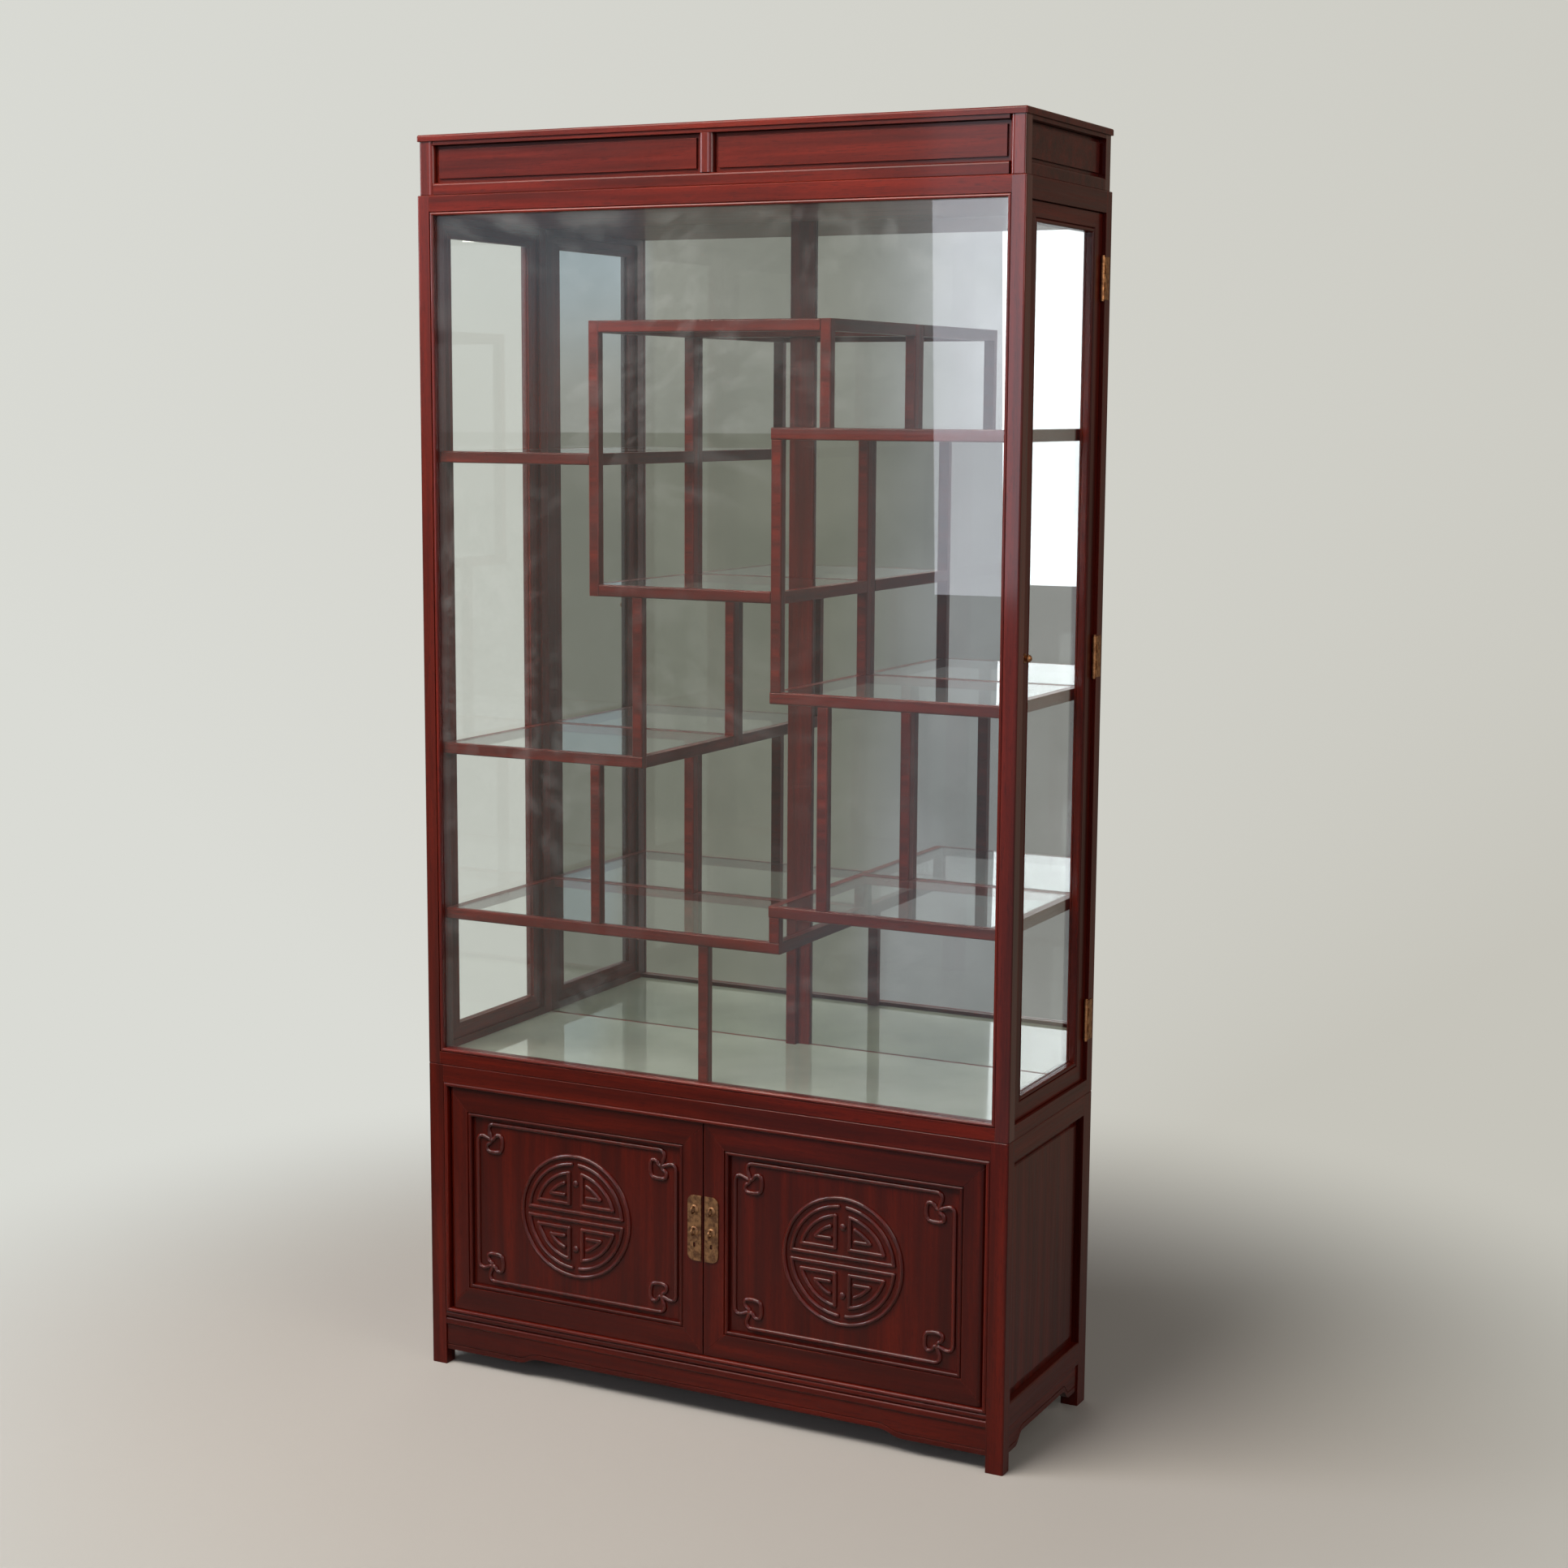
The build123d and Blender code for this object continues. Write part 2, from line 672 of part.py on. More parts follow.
with BuildPart() as case_rear_posts:
    for hand in hands:
        block(either(hand, inner, side), (case_back_front, back), case_z)
        block(either(hand, inner, inner + rear_rebate), (mirror_face, back), case_z, mode=Mode.SUBTRACT)
        stop_y = (case_back_front - stop_reach, case_back_front)
        block(either(hand, inner, stop_x), stop_y, side_opening_z)
    fillet(outer_corners(case_rear_posts, side, front, back), corner_radius)
    stacking_grooves(case_rear_posts)
case_rear_posts.part.label = "case_rear_posts"
export_step(case_rear_posts.part, "parts/case_rear_posts.step")

wide_span = (-inner - glazing_bead + glue_line, inner + glazing_bead - glue_line)
with BuildPart() as case_front_rails:
    # the front of each rail runs on into the glazing rebates of the posts
    for low, high in ((case_foot, rebate_z[0]), (rebate_z[1], case_head)):
        block(wide_span, (front, pane_y[1]), (low, high))
    for low, high in ((case_foot, front_opening_z[0]), (front_opening_z[1], case_head)):
        block(rail_span, (pane_y[1], case_front_back), (low, high))
    stacking_grooves(case_front_rails)
case_front_rails.part.label = "case_front_rails"
export_step(case_front_rails.part, "parts/case_front_rails.step")

case_side_span = (case_front_back + glue_line, case_back_front - glue_line)
with BuildPart() as case_side_rails:
    for hand in hands:
        for low, high in ((case_foot, side_opening_z[0]), (side_opening_z[1], case_head)):
            block(either(hand, inner, side), case_side_span, (low, high))
        stop_y = (case_side_span[0] + stop_reach, case_side_span[1] - stop_reach)
        for z, turn in zip(side_opening_z, (1, -1)):
            block(either(hand, inner, stop_x), stop_y, either(turn, turn * z, turn * z + stop_reach))
    stacking_grooves(case_side_rails)
case_side_rails.part.label = "case_side_rails"
export_step(case_side_rails.part, "parts/case_side_rails.step")

wide_rear_span = (-inner - rear_rebate + glue_line, inner + rear_rebate - glue_line)
mirror_z = (floor_top, front_opening_z[1] + rear_rebate)
with BuildPart() as case_rear_rails:
    block(rail_span, (case_back_front, mirror_face), (case_foot, floor_top))
    block(wide_rear_span, (mirror_face, back), (case_foot, floor_top))
    block(rail_span, (case_back_front, mirror_face), (front_opening_z[1], case_head))
    block(wide_rear_span, (mirror_face, back), (mirror_z[1], case_head))
case_rear_rails.part.label = "case_rear_rails"
export_step(case_rear_rails.part, "parts/case_rear_rails.step")

case_board_x = (-inner + glue_line, inner - glue_line)
with BuildPart() as case_ceiling:
    block(case_board_x, case_side_span, (front_opening_z[1], front_opening_z[1] + ceiling_board))
case_ceiling.part.label = "case_ceiling"
export_step(case_ceiling.part, "parts/case_ceiling.step")

with BuildPart() as display_floor_board:
    block(case_board_x, case_side_span, (case_foot, floor_top))
display_floor_board.part.label = "display_floor_board"
export_step(display_floor_board.part, "parts/display_floor_board.step")

with BuildPart() as display_floor_glass:
    glass_y = (case_side_span[0], mirror_face - floor_strip)
    block((-inner + pane_gap, inner - pane_gap), glass_y, (floor_top, deck_top))
display_floor_glass.part.label = "display_floor_glass"
export_step(display_floor_glass.part, "parts/display_floor_glass.step")

with BuildPart() as display_floor_strip:
    block(case_board_x, (mirror_face - floor_strip, mirror_face), (floor_top, deck_top))
display_floor_strip.part.label = "display_floor_strip"
export_step(display_floor_strip.part, "parts/display_floor_strip.step")

front_pane_x = inner + glazing_bead - pane_gap
with BuildPart() as front_glass:
    block((-front_pane_x, front_pane_x), pane_y, (rebate_z[0] + pane_gap, rebate_z[1] - pane_gap))
front_glass.part.label = "front_glass"
export_step(front_glass.part, "parts/front_glass.step")

front_bead_bars = mitred_frame(
    2 * (inner + glazing_bead - glue_line),
    rebate_z[1] - rebate_z[0],
    (glazing_bead,) * 4,
    lambda width: bead_section(width, glass_setback),
)
with BuildPart() as front_glazing_bead:
    with Locations((0, front, (rebate_z[0] + rebate_z[1]) / 2)):
        add(front_bead_bars)
front_glazing_bead.part.label = "front_glazing_bead"
export_step(front_glazing_bead.part, "parts/front_glazing_bead.step")

mirror_reach = inner + rear_rebate - pane_gap
with BuildPart() as mirror_panes:
    for hand in hands:
        block(either(hand, pane_gap, mirror_reach), (mirror_face, mirror_face + mirror_pane), mirror_z)
mirror_panes.part.label = "mirror_panes"
export_step(mirror_panes.part, "parts/mirror_panes.step")

stile_y = (mirror_face - mirror_stile_thickness, mirror_face)
stile_z = (deck_top, front_opening_z[1])
with BuildPart() as mirror_centre_stile:
    block((-mirror_stile / 2, mirror_stile / 2), stile_y, stile_z)
    # it stands over the strip and the glass of the display floor
    fillet(mirror_centre_stile.edges().filter_by(Axis.Z).group_by(Axis.Y)[0], lattice_round)
mirror_centre_stile.part.label = "mirror_centre_stile"
export_step(mirror_centre_stile.part, "parts/mirror_centre_stile.step")

with BuildPart() as case_back_board:
    block((-mirror_reach, mirror_reach), (mirror_face + mirror_pane, back), mirror_z)
case_back_board.part.label = "case_back_board"
export_step(case_back_board.part, "parts/case_back_board.step")

# ================================================================ lattice of shelves
half_bar = lattice_bar / 2
end = inner - glue_line
shelves = (
    (box_top, box_left_post - half_bar, box_right_post + half_bar),
    (right_upper_shelf, inner_right_post - half_bar, end),
    (left_upper_shelf, -end, box_left_post + half_bar),
    (box_floor, box_left_post - half_bar, inner_right_post + half_bar),
    (right_middle_shelf, inner_right_post - half_bar, end),
    (left_lower_shelf, -end, left_post + half_bar),
    (right_lower_shelf, inner_right_post - half_bar, end),
    (long_shelf, -end, inner_right_post + half_bar),
)
uprights = (
    (box_left_post, box_floor - lattice_bar, box_top + lattice_bar),
    (box_left_post, long_shelf, left_lower_shelf),
    (left_post, left_lower_shelf, box_floor),
    (foot_post, deck_top - case_foot - half_bar, long_shelf),
    (inner_right_post, right_middle_shelf, right_upper_shelf),
    (inner_right_post, long_shelf, right_lower_shelf),
    (box_right_post, right_upper_shelf, box_top + lattice_bar),
    (box_right_post, right_lower_shelf, right_middle_shelf),
)
# shelves whose ends stop against an upright instead of running over it
stopped_left = (box_top, box_floor)
stopped_right = (box_top, left_upper_shelf, box_floor)


def lattice_bars(y):
    # the bars of one face of the lattice, each a piece of its own
    for height, left, right in shelves:
        x_low = left + lattice_bar + glue_line if height in stopped_left else left
        x_high = right - lattice_bar - glue_line if height in stopped_right else right
        z = case_foot + height
        block((x_low, x_high), y, (z - half_bar, z + half_bar))
    for x, low, high in uprights:
        z_low = case_foot + low + half_bar + glue_line
        z_high = case_foot + high - half_bar - glue_line
        block((x - half_bar, x + half_bar), y, (z_low, z_high))


def round_front(piece):
    # rounds the long front edges of the bars, not their jointed ends
    front_faces = piece.faces().filter_by(Axis.Y).group_by(Axis.Y)[0]
    long_edges = [edge for edge in front_faces.edges() if edge.length > lattice_bar + tolerance]
    fillet(long_edges, lattice_round)


def shelf_pane_recesses(y):
    # rebates along the bars and rails for the panes of the shelves
    for height, left, right in shelves:
        top = case_foot + height + half_bar
        x = (left + lattice_bar - shelf_rebate, right - lattice_bar + shelf_rebate)
        block(x, y, (top - shelf_pane, top), mode=Mode.SUBTRACT)


lattice_front_y = (front + lattice_setback, front + lattice_setback + lattice_front_depth)
lattice_rear_y = (mirror_face - lattice_rear_depth, mirror_face)
pane_span_y = (lattice_front_y[1] - shelf_rebate, lattice_rear_y[0] + shelf_rebate)

with BuildPart() as lattice_front:
    lattice_bars(lattice_front_y)
    round_front(lattice_front)
    shelf_pane_recesses(pane_span_y)
    # the foot post is notched over the front sill
    block(rail_span, (pane_y[1], case_front_back), (case_foot, front_opening_z[0]), mode=Mode.SUBTRACT)
lattice_front.part.label = "lattice_front"
export_step(lattice_front.part, "parts/lattice_front.step")

with BuildPart() as lattice_rear:
    lattice_bars(lattice_rear_y)
    round_front(lattice_rear)
    shelf_pane_recesses(pane_span_y)
    # the bars are notched over the mirror's centre stile
    block((-mirror_stile / 2, mirror_stile / 2), stile_y, stile_z, mode=Mode.SUBTRACT)
lattice_rear.part.label = "lattice_rear"
export_step(lattice_rear.part, "parts/lattice_rear.step")

with BuildPart() as shelf_side_rails:
    rail_y = (lattice_front_y[1] + glue_line, lattice_rear_y[0] - glue_line)
    for height, left, right in shelves:
        z = (case_foot + height - half_bar, case_foot + height + half_bar)
        block((left, left + lattice_bar), rail_y, z)
        block((right - lattice_bar, right), rail_y, z)
    shelf_pane_recesses(pane_span_y)
shelf_side_rails.part.label = "shelf_side_rails"
export_step(shelf_side_rails.part, "parts/shelf_side_rails.step")

with BuildPart() as shelf_glass:
    for height, left, right in shelves:
        top = case_foot + height + half_bar
        x = (left + lattice_bar - shelf_rebate + pane_gap, right - lattice_bar + shelf_rebate - pane_gap)
        y = (pane_span_y[0] + pane_gap, pane_span_y[1] - pane_gap)
        block(x, y, (top - shelf_pane, top))
shelf_glass.part.label = "shelf_glass"
export_step(shelf_glass.part, "parts/shelf_glass.step")

# ================================================================ glazed side doors
side_face = side - side_recess
side_door_y = (case_front_back + door_gap, case_back_front - door_gap)
side_door_z = (side_opening_z[0] + door_gap, side_opening_z[1] - door_gap)
side_door_width = side_door_y[1] - side_door_y[0]
side_door_height = side_door_z[1] - side_door_z[0]
side_door_centre = (side_face, sum(side_door_y) / 2, sum(side_door_z) / 2)
side_sides = (side_door_sill, side_stile, side_door_head, side_stile)


def side_section(width):
    return moulded_section(width, side_thickness, side_glass_setback, side_thickness, side_rebate)


turned = Location(side_door_centre, (0, 0, 90))  # a frame that faces the front turned to face +x
hinge_heights = (
    side_door_z[0] + hinge_inset,
    side_door_centre[2],
    side_door_z[1] - hinge_inset,
)
door_leaf = ((side_face - door_leaf_width, side_face), (side_door_y[1] - hinge_leaf, side_door_y[1]))
with BuildPart() as side_door_frame:
    with Locations(turned):
        add(mitred_frame(side_door_width, side_door_height, side_sides, side_section))
    for middle in hinge_heights:
        mortise_z = (middle - hinge_length / 2, middle + hinge_length / 2)
        block(*door_leaf, mortise_z, mode=Mode.SUBTRACT)

rebate_y = (side_door_y[0] + side_stile - side_rebate, side_door_y[1] - side_stile + side_rebate)
rebate_door_z = (
    side_door_z[0] + side_door_sill - side_rebate,
    side_door_z[1] - side_door_head + side_rebate,
)
with BuildPart() as side_door_glass:
    glass_x = (side_face - side_glass_setback - side_pane, side_face - side_glass_setback)
    glass_y = (rebate_y[0] + pane_gap, rebate_y[1] - pane_gap)
    glass_z = (rebate_door_z[0] + pane_gap, rebate_door_z[1] - pane_gap)
    block(glass_x, glass_y, glass_z)

stop_thickness = side_thickness - side_glass_setback - side_pane


def stop_section(width):
    with BuildSketch() as section:
        Rectangle(stop_thickness, width, align=Align.MIN)
    return section.sketch


stop_bars = mitred_frame(
    rebate_y[1] - rebate_y[0] - 2 * glue_line,
    rebate_door_z[1] - rebate_door_z[0] - 2 * glue_line,
    (side_rebate,) * 4,
    stop_section,
)
stop_centre = (side_face - side_thickness + stop_thickness, sum(rebate_y) / 2, sum(rebate_door_z) / 2)
with BuildPart() as side_door_stops:
    with Locations(Location(stop_centre, (0, 0, 90))):
        add(stop_bars)

knob_place = Plane(
    (side_face, side_door_y[0] + side_stile / 2, side_door_centre[2] + knob_rise),
    z_dir=(1, 0, 0),
)
knob_foot = (Align.CENTER, Align.CENTER, Align.MIN)
with BuildPart(knob_place) as side_door_knob:
    Cylinder(knob_rose, knob_rose_thickness, align=knob_foot)
    Cylinder(knob_neck, knob_length - knob_radius, align=knob_foot)
    with Locations((0, 0, knob_length - knob_radius)):
        Sphere(knob_radius)

axis_x = side_face + knuckle_gap + knuckle_radius
axis_y = case_back_front - knuckle_back - knuckle_radius
knuckle_pitch = hinge_length / knuckle_count


def hinge_leaves(plate, tab, first_knuckle):
    # one leaf of each hinge: a plate, and a tab with every second knuckle
    for middle in hinge_heights:
        low = middle - hinge_length / 2
        block(*plate, (low, low + hinge_length))
        for n in range(first_knuckle, knuckle_count, 2):
            foot = low + n * knuckle_pitch + knuckle_space / 2
            z = (foot, foot + knuckle_pitch - knuckle_space)
            block(*tab, z)
            with Locations((axis_x, axis_y, sum(z) / 2)):
                Cylinder(knuckle_radius, z[1] - z[0])
        with Locations((axis_x, axis_y, middle)):
            Cylinder(pin_radius + pin_play, hinge_length, mode=Mode.SUBTRACT)


with BuildPart() as side_door_hinges:
    hinge_leaves(door_leaf, ((side_face, axis_x), door_leaf[1]), 1)

with BuildPart() as case_hinge_leaves:
    leaf_x = (side, side + hinge_leaf)
    plate_y = (case_back_front, axis_y + case_leaf_width)
    hinge_leaves((leaf_x, plate_y), (leaf_x, (axis_y, case_back_front)), 0)

side_door_pieces = (
    ("frame", side_door_frame.part),
    ("glass", side_door_glass.part),
    ("glazing_bead", side_door_stops.part),
    ("knob", side_door_knob.part),
    ("hinge_leaves", side_door_hinges.part),
)
for hand in ("left", "right"):
    for piece_name, piece in side_door_pieces:
        with BuildPart() as door_piece:
            add(piece if hand == "right" else piece.mirror(Plane.YZ))
        door_piece.part.label = f"side_door_{hand}_{piece_name}"
        export_step(door_piece.part, f"parts/side_door_{hand}_{piece_name}.step")

with BuildPart() as hinge_case_leaves:
    add(case_hinge_leaves.part)
    mirror(about=Plane.YZ)
hinge_case_leaves.part.label = "hinge_case_leaves"
export_step(hinge_case_leaves.part, "parts/hinge_case_leaves.step")

with BuildPart() as hinge_pins:
    for hand in hands:
        for middle in hinge_heights:
            with Locations((hand * axis_x, axis_y, middle)):
                Cylinder(pin_radius, hinge_length + 2 * pin_head)
            head_shift = hinge_length / 2 + pin_head / 2
            with Locations(*[(hand * axis_x, axis_y, middle + turn * head_shift) for turn in hands]):
                Cylinder(pin_head_radius, pin_head)
hinge_pins.part.label = "hinge_pins"
export_step(hinge_pins.part, "parts/hinge_pins.step")

# ================================================================ crown
crown_side = side - crown_inset
crown_front = front + crown_inset
crown_back = back - crown_inset
crown_rail_z = case_head + crown_sill
slab_z = (crown_top - crown_slab, crown_top)
head_z = (slab_z[0] - crown_head, slab_z[0])
crown_z = (case_head, slab_z[0])
crown_posts_y = ((crown_front, crown_front + crown_post_depth), (crown_back - crown_post_depth, crown_back))

with BuildPart() as crown_posts:
    for hand in hands:
        for y in crown_posts_y:
            block(either(hand, inner, crown_side), y, crown_z)
    stile_span = (crown_rail_z + glue_line, head_z[0] - glue_line)
    block((-crown_stile / 2, crown_stile / 2), crown_posts_y[0], stile_span)
    fillet(outer_corners(crown_posts, crown_side, crown_front, crown_back), corner_radius)
    fillet(outer_corners(crown_posts, inner, crown_front, crown_front), crown_round)
    fillet(outer_corners(crown_posts, crown_stile / 2, crown_front, crown_front), crown_round)
    chamfer(joint_edges(crown_posts, case_head, crown_side, crown_front), joint_groove)
crown_posts.part.label = "crown_posts"
export_step(crown_posts.part, "parts/crown_posts.step")

crown_side_span = (crown_posts_y[0][1] + glue_line, crown_posts_y[1][0] - glue_line)
rail_heights = ((case_head, crown_rail_z), head_z)
with BuildPart() as crown_rails:
    for z in rail_heights:
        for y in crown_posts_y:
            block(rail_span, y, z)
        for hand in hands:
            block(either(hand, inner, crown_side), crown_side_span, z)
    fillet(joint_edges(crown_rails, crown_rail_z, crown_side, crown_front), crown_round / 2)
    chamfer(joint_edges(crown_rails, case_head, crown_side, crown_front), joint_groove)
crown_rails.part.label = "crown_rails"
export_step(crown_rails.part, "parts/crown_rails.step")

crown_panel_z = (crown_rail_z + pane_gap, head_z[0] - pane_gap)
field_z = (crown_panel_z[0] + crown_margin, crown_panel_z[1] - crown_margin)
with BuildPart() as crown_panels:
    field_front = crown_front + crown_panel_recess
    margin_front = field_front + raised_step
    for hand in hands:
        x = either(hand, crown_stile / 2 + pane_gap, inner - pane_gap)
        block(x, (margin_front, margin_front + back_panel), crown_panel_z)
        block((x[0] + crown_margin, x[1] - crown_margin), (field_front, margin_front), field_z)
        field_side = crown_side - crown_panel_recess
        margin_side = field_side - raised_step
        y = (crown_side_span[0] + pane_gap, crown_side_span[1] - pane_gap)
        block(either(hand, margin_side - back_panel, margin_side), y, crown_panel_z)
        block(either(hand, margin_side, field_side), (y[0] + crown_margin, y[1] - crown_margin), field_z)
crown_panels.part.label = "crown_panels"
export_step(crown_panels.part, "parts/crown_panels.step")

with BuildPart() as crown_back_panel:
    x = (-inner + pane_gap, inner - pane_gap)
    block(x, (crown_back - back_panel_inset - back_panel, crown_back - back_panel_inset), crown_panel_z)
crown_back_panel.part.label = "crown_back_panel"
export_step(crown_back_panel.part, "parts/crown_back_panel.step")

with BuildPart() as crown_top_board:
    block((-side, side), (front, back), slab_z)
    fillet(outer_corners(crown_top_board, side, front, back), corner_radius)
    fillet(crown_top_board.faces().sort_by(Axis.Z)[-1].edges(), corner_radius)
crown_top_board.part.label = "crown_top_board"
export_step(crown_top_board.part, "parts/crown_top_board.step")
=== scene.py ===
import bpy, bmesh, math
from mathutils import Matrix, Vector


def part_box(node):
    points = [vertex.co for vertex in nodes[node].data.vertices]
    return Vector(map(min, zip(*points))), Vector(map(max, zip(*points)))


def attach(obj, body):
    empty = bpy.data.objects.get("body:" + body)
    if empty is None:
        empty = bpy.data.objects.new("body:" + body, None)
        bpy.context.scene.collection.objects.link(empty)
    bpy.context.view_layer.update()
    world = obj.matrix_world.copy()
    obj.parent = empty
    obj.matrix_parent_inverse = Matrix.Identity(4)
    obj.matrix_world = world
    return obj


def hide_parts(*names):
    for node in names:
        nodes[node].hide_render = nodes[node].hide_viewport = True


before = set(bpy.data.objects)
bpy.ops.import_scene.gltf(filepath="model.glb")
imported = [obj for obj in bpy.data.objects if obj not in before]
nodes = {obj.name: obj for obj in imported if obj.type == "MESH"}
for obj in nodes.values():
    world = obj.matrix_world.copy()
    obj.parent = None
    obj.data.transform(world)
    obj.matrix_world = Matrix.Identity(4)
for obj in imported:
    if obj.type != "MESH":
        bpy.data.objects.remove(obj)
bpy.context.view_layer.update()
scene = bpy.context.scene
scene.view_settings.view_transform = "Standard"
mm = 0.001
sharpFrom = math.radians(40)  # flatter edges are shaded smooth
print("frame loaded,", len(nodes), "nodes")


def linear(hexColour):
    # sRGB hex to the linear colour that the shaders take
    values = [int(hexColour[i:i + 2], 16) / 255 for i in (1, 3, 5)]
    return (*[v / 12.92 if v <= 0.04045 else ((v + 0.055) / 1.055) ** 2.4 for v in values], 1.0)


def add(tree, kind, inputs=None, stops=None, **settings):
    # one node, with its properties, its values or links, and the stops of a colour ramp
    node = tree.nodes.new(kind)
    for key, value in settings.items():
        setattr(node, key, value)
    for key, value in (inputs or {}).items():
        if isinstance(value, bpy.types.NodeSocket):
            tree.links.new(value, node.inputs[key])
        else:
            node.inputs[key].default_value = value
    if stops:
        marks = node.color_ramp.elements
        while len(marks) < len(stops):
            marks.new(0.5)
        for mark, (position, colour) in zip(marks, stops):
            mark.position = position
            mark.color = linear(colour)
    return node


def calc(tree, operation, one, other=0.0, clamp=False):
    return add(tree, "ShaderNodeMath", {0: one, 1: other}, operation=operation, use_clamp=clamp).outputs[0]


def combine(tree, operation, *vectors):
    return add(tree, "ShaderNodeVectorMath", dict(enumerate(vectors)), operation=operation).outputs[0]


def axesOf(tree, vector):
    return add(tree, "ShaderNodeSeparateXYZ", {0: vector}).outputs


def remap(tree, value, reach, first=0.0, last=1.0, kind="LINEAR"):
    # value carried from the two ends of reach to first..last
    return add(tree, "ShaderNodeMapRange", {0: value, 1: reach[0], 2: reach[1], 3: first, 4: last},
               interpolation_type=kind).outputs[0]


def ramp(tree, value, reach, first=0.0, last=1.0):
    return remap(tree, value, reach, first, last, kind="SMOOTHSTEP")


def blend(tree, share, one, other):
    return add(tree, "ShaderNodeMixRGB", {"Fac": share, "Color1": one, "Color2": other}).outputs[0]


def shades(tree, value, *stops):
    return add(tree, "ShaderNodeValToRGB", {0: value}, stops=stops).outputs[0]


def noise(tree, place, scale, detail):
    return add(tree, "ShaderNodeTexNoise", {"Vector": place, "Scale": scale, "Detail": detail}).outputs


def newMaterial(name):
    # a material, its empty tree and the place on the object
    material = bpy.data.materials.new(name)
    material.use_nodes = True
    tree = material.node_tree
    tree.nodes.clear()
    return material, tree, add(tree, "ShaderNodeTexCoord").outputs["Object"]


def finishMaterial(tree, shader):
    add(tree, "ShaderNodeOutputMaterial", {"Surface": shader.outputs[0]})


# ---------- camera
cameraPlace = {
    "location": (1.8897, -3.6134, 1.5677),
    "heading": 26.984,  # degrees to the left of +Y
    "pitch": 8.200,  # below the horizon
    "roll": 0.345,
    "lens": 60.15,
    "shift": 0.001,
}


def makeCamera():
    heading, pitch, roll = (math.radians(cameraPlace[key]) for key in ("heading", "pitch", "roll"))
    ahead = Vector((-math.sin(heading), math.cos(heading), 0))
    level = Vector((math.cos(heading), math.sin(heading), 0))
    look = math.cos(pitch) * ahead - math.sin(pitch) * Vector((0, 0, 1))
    rise = level.cross(look)
    right = math.cos(roll) * level + math.sin(roll) * rise
    up = math.cos(roll) * rise - math.sin(roll) * level
    camera = bpy.data.objects.new("camera", bpy.data.cameras.new("camera"))
    camera.data.lens = cameraPlace["lens"]
    camera.data.sensor_width = 36.0
    camera.data.shift_x = cameraPlace["shift"]
    turn = Matrix((right, up, -look)).transposed().to_4x4()
    camera.matrix_world = Matrix.Translation(cameraPlace["location"]) @ turn
    scene.collection.objects.link(camera)
    scene.camera = camera


makeCamera()
print("camera placed")

# ---------- floor, backdrop and lamps
studio = {
    "floor": "#BFBCB7",
    "floorBounce": "#4A4845",  # the floor as it lights the object, as a dark carpet would
    "backdropLeft": "#DADBD5",
    "backdropRight": "#C6C4BB",
    "sideWall": "#857D70",  # what lacquer reflects of the room behind and beside the object
    "farSide": "#8F8D84",  # and glass and lacquer of the room in front: floor, wall, ceiling, window wall
    "wallSide": "#A9A7A2",
    "ceilingSide": "#F4F2EC",
    "windowSide": "#DCDCE6",
    "windowFloor": "#A6A6AC",
    "leftSide": "#BAC6D2",  # daylight from the far left
    # shares of a direction: sideways, forward or upward, from where one tone begins to where it is full
    "backdropReach": (-0.75, 0.1),
    "windowReach": (-0.44, -0.38),
    "leftReach": (-0.495, -0.507),
    "frontReach": (0.15, -0.35),
    "daylightReach": (0.0, 0.06),
    "ceilingReach": (0.22, 0.5),
    "fillColour": "#ECEBE6",
    "fill": 0.14,  # light of the room on the object
    "floorRadius": 150.0,
    "fadeReach": (0.7, 1.9),  # where the floor melts into the backdrop
    "floorRoughness": 0.9,
    "floorShine": 0.2,
}
# place, aim, width, height, power in watts, colour
lamps = {
    "ceilingPanel": ((-0.7, -1.7, 3.2), (-0.1, 0.0, 1.7), 2.2, 1.6, 105.0, "#FFF6EC"),
    "frontWindow": ((-0.75, -5.4, 1.85), (-0.2, 0.0, 1.5), 2.3, 1.9, 36.0, "#F0F2FF"),
    "leftWindow": ((-2.6, -1.5, 2.4), (-0.4, 0.0, 1.8), 0.9, 1.2, 30.0, "#F3F6FF"),
    "rightFill": ((3.4, -1.2, 2.6), (0.4, 0.0, 1.3), 1.6, 1.6, 26.0, "#FFF4EA"),
    "rearFill": ((-1.8, 3.6, 2.8), (0.0, 0.2, 1.0), 2.0, 1.6, 16.0, "#FFF8F0"),
}


def backdropColour(tree, away, frontColour, windowColour):
    # paler on the left, where the light falls, and a shade darker on the right; what is behind the
    # camera shows only in glass, gloss and metal
    sideways, forward, _ = axesOf(tree, away)
    rays = add(tree, "ShaderNodeLightPath").outputs
    rear = shades(tree, remap(tree, sideways, studio["backdropReach"]),
                  (0.0, studio["backdropLeft"]), (1.0, studio["backdropRight"]))
    mirrored = calc(tree, "SUBTRACT", rays["Is Glossy Ray"], rays["Is Transmission Ray"], clamp=True)
    rear = blend(tree, mirrored, rear, linear(studio["sideWall"]))
    ahead = blend(tree, ramp(tree, sideways, studio["windowReach"]), frontColour, windowColour)
    inFront = calc(tree, "SUBTRACT", ramp(tree, forward, studio["frontReach"]), rays["Is Camera Ray"],
                   clamp=True)
    return blend(tree, inFront, rear, ahead)


def seenRays(tree):
    # 1 for what the camera, a gloss or a pane shows, 0 for light that falls on things
    rays = add(tree, "ShaderNodeLightPath").outputs
    seen = calc(tree, "MAXIMUM", rays["Is Camera Ray"], rays["Is Glossy Ray"])
    return calc(tree, "MAXIMUM", rays["Is Transmission Ray"], seen)


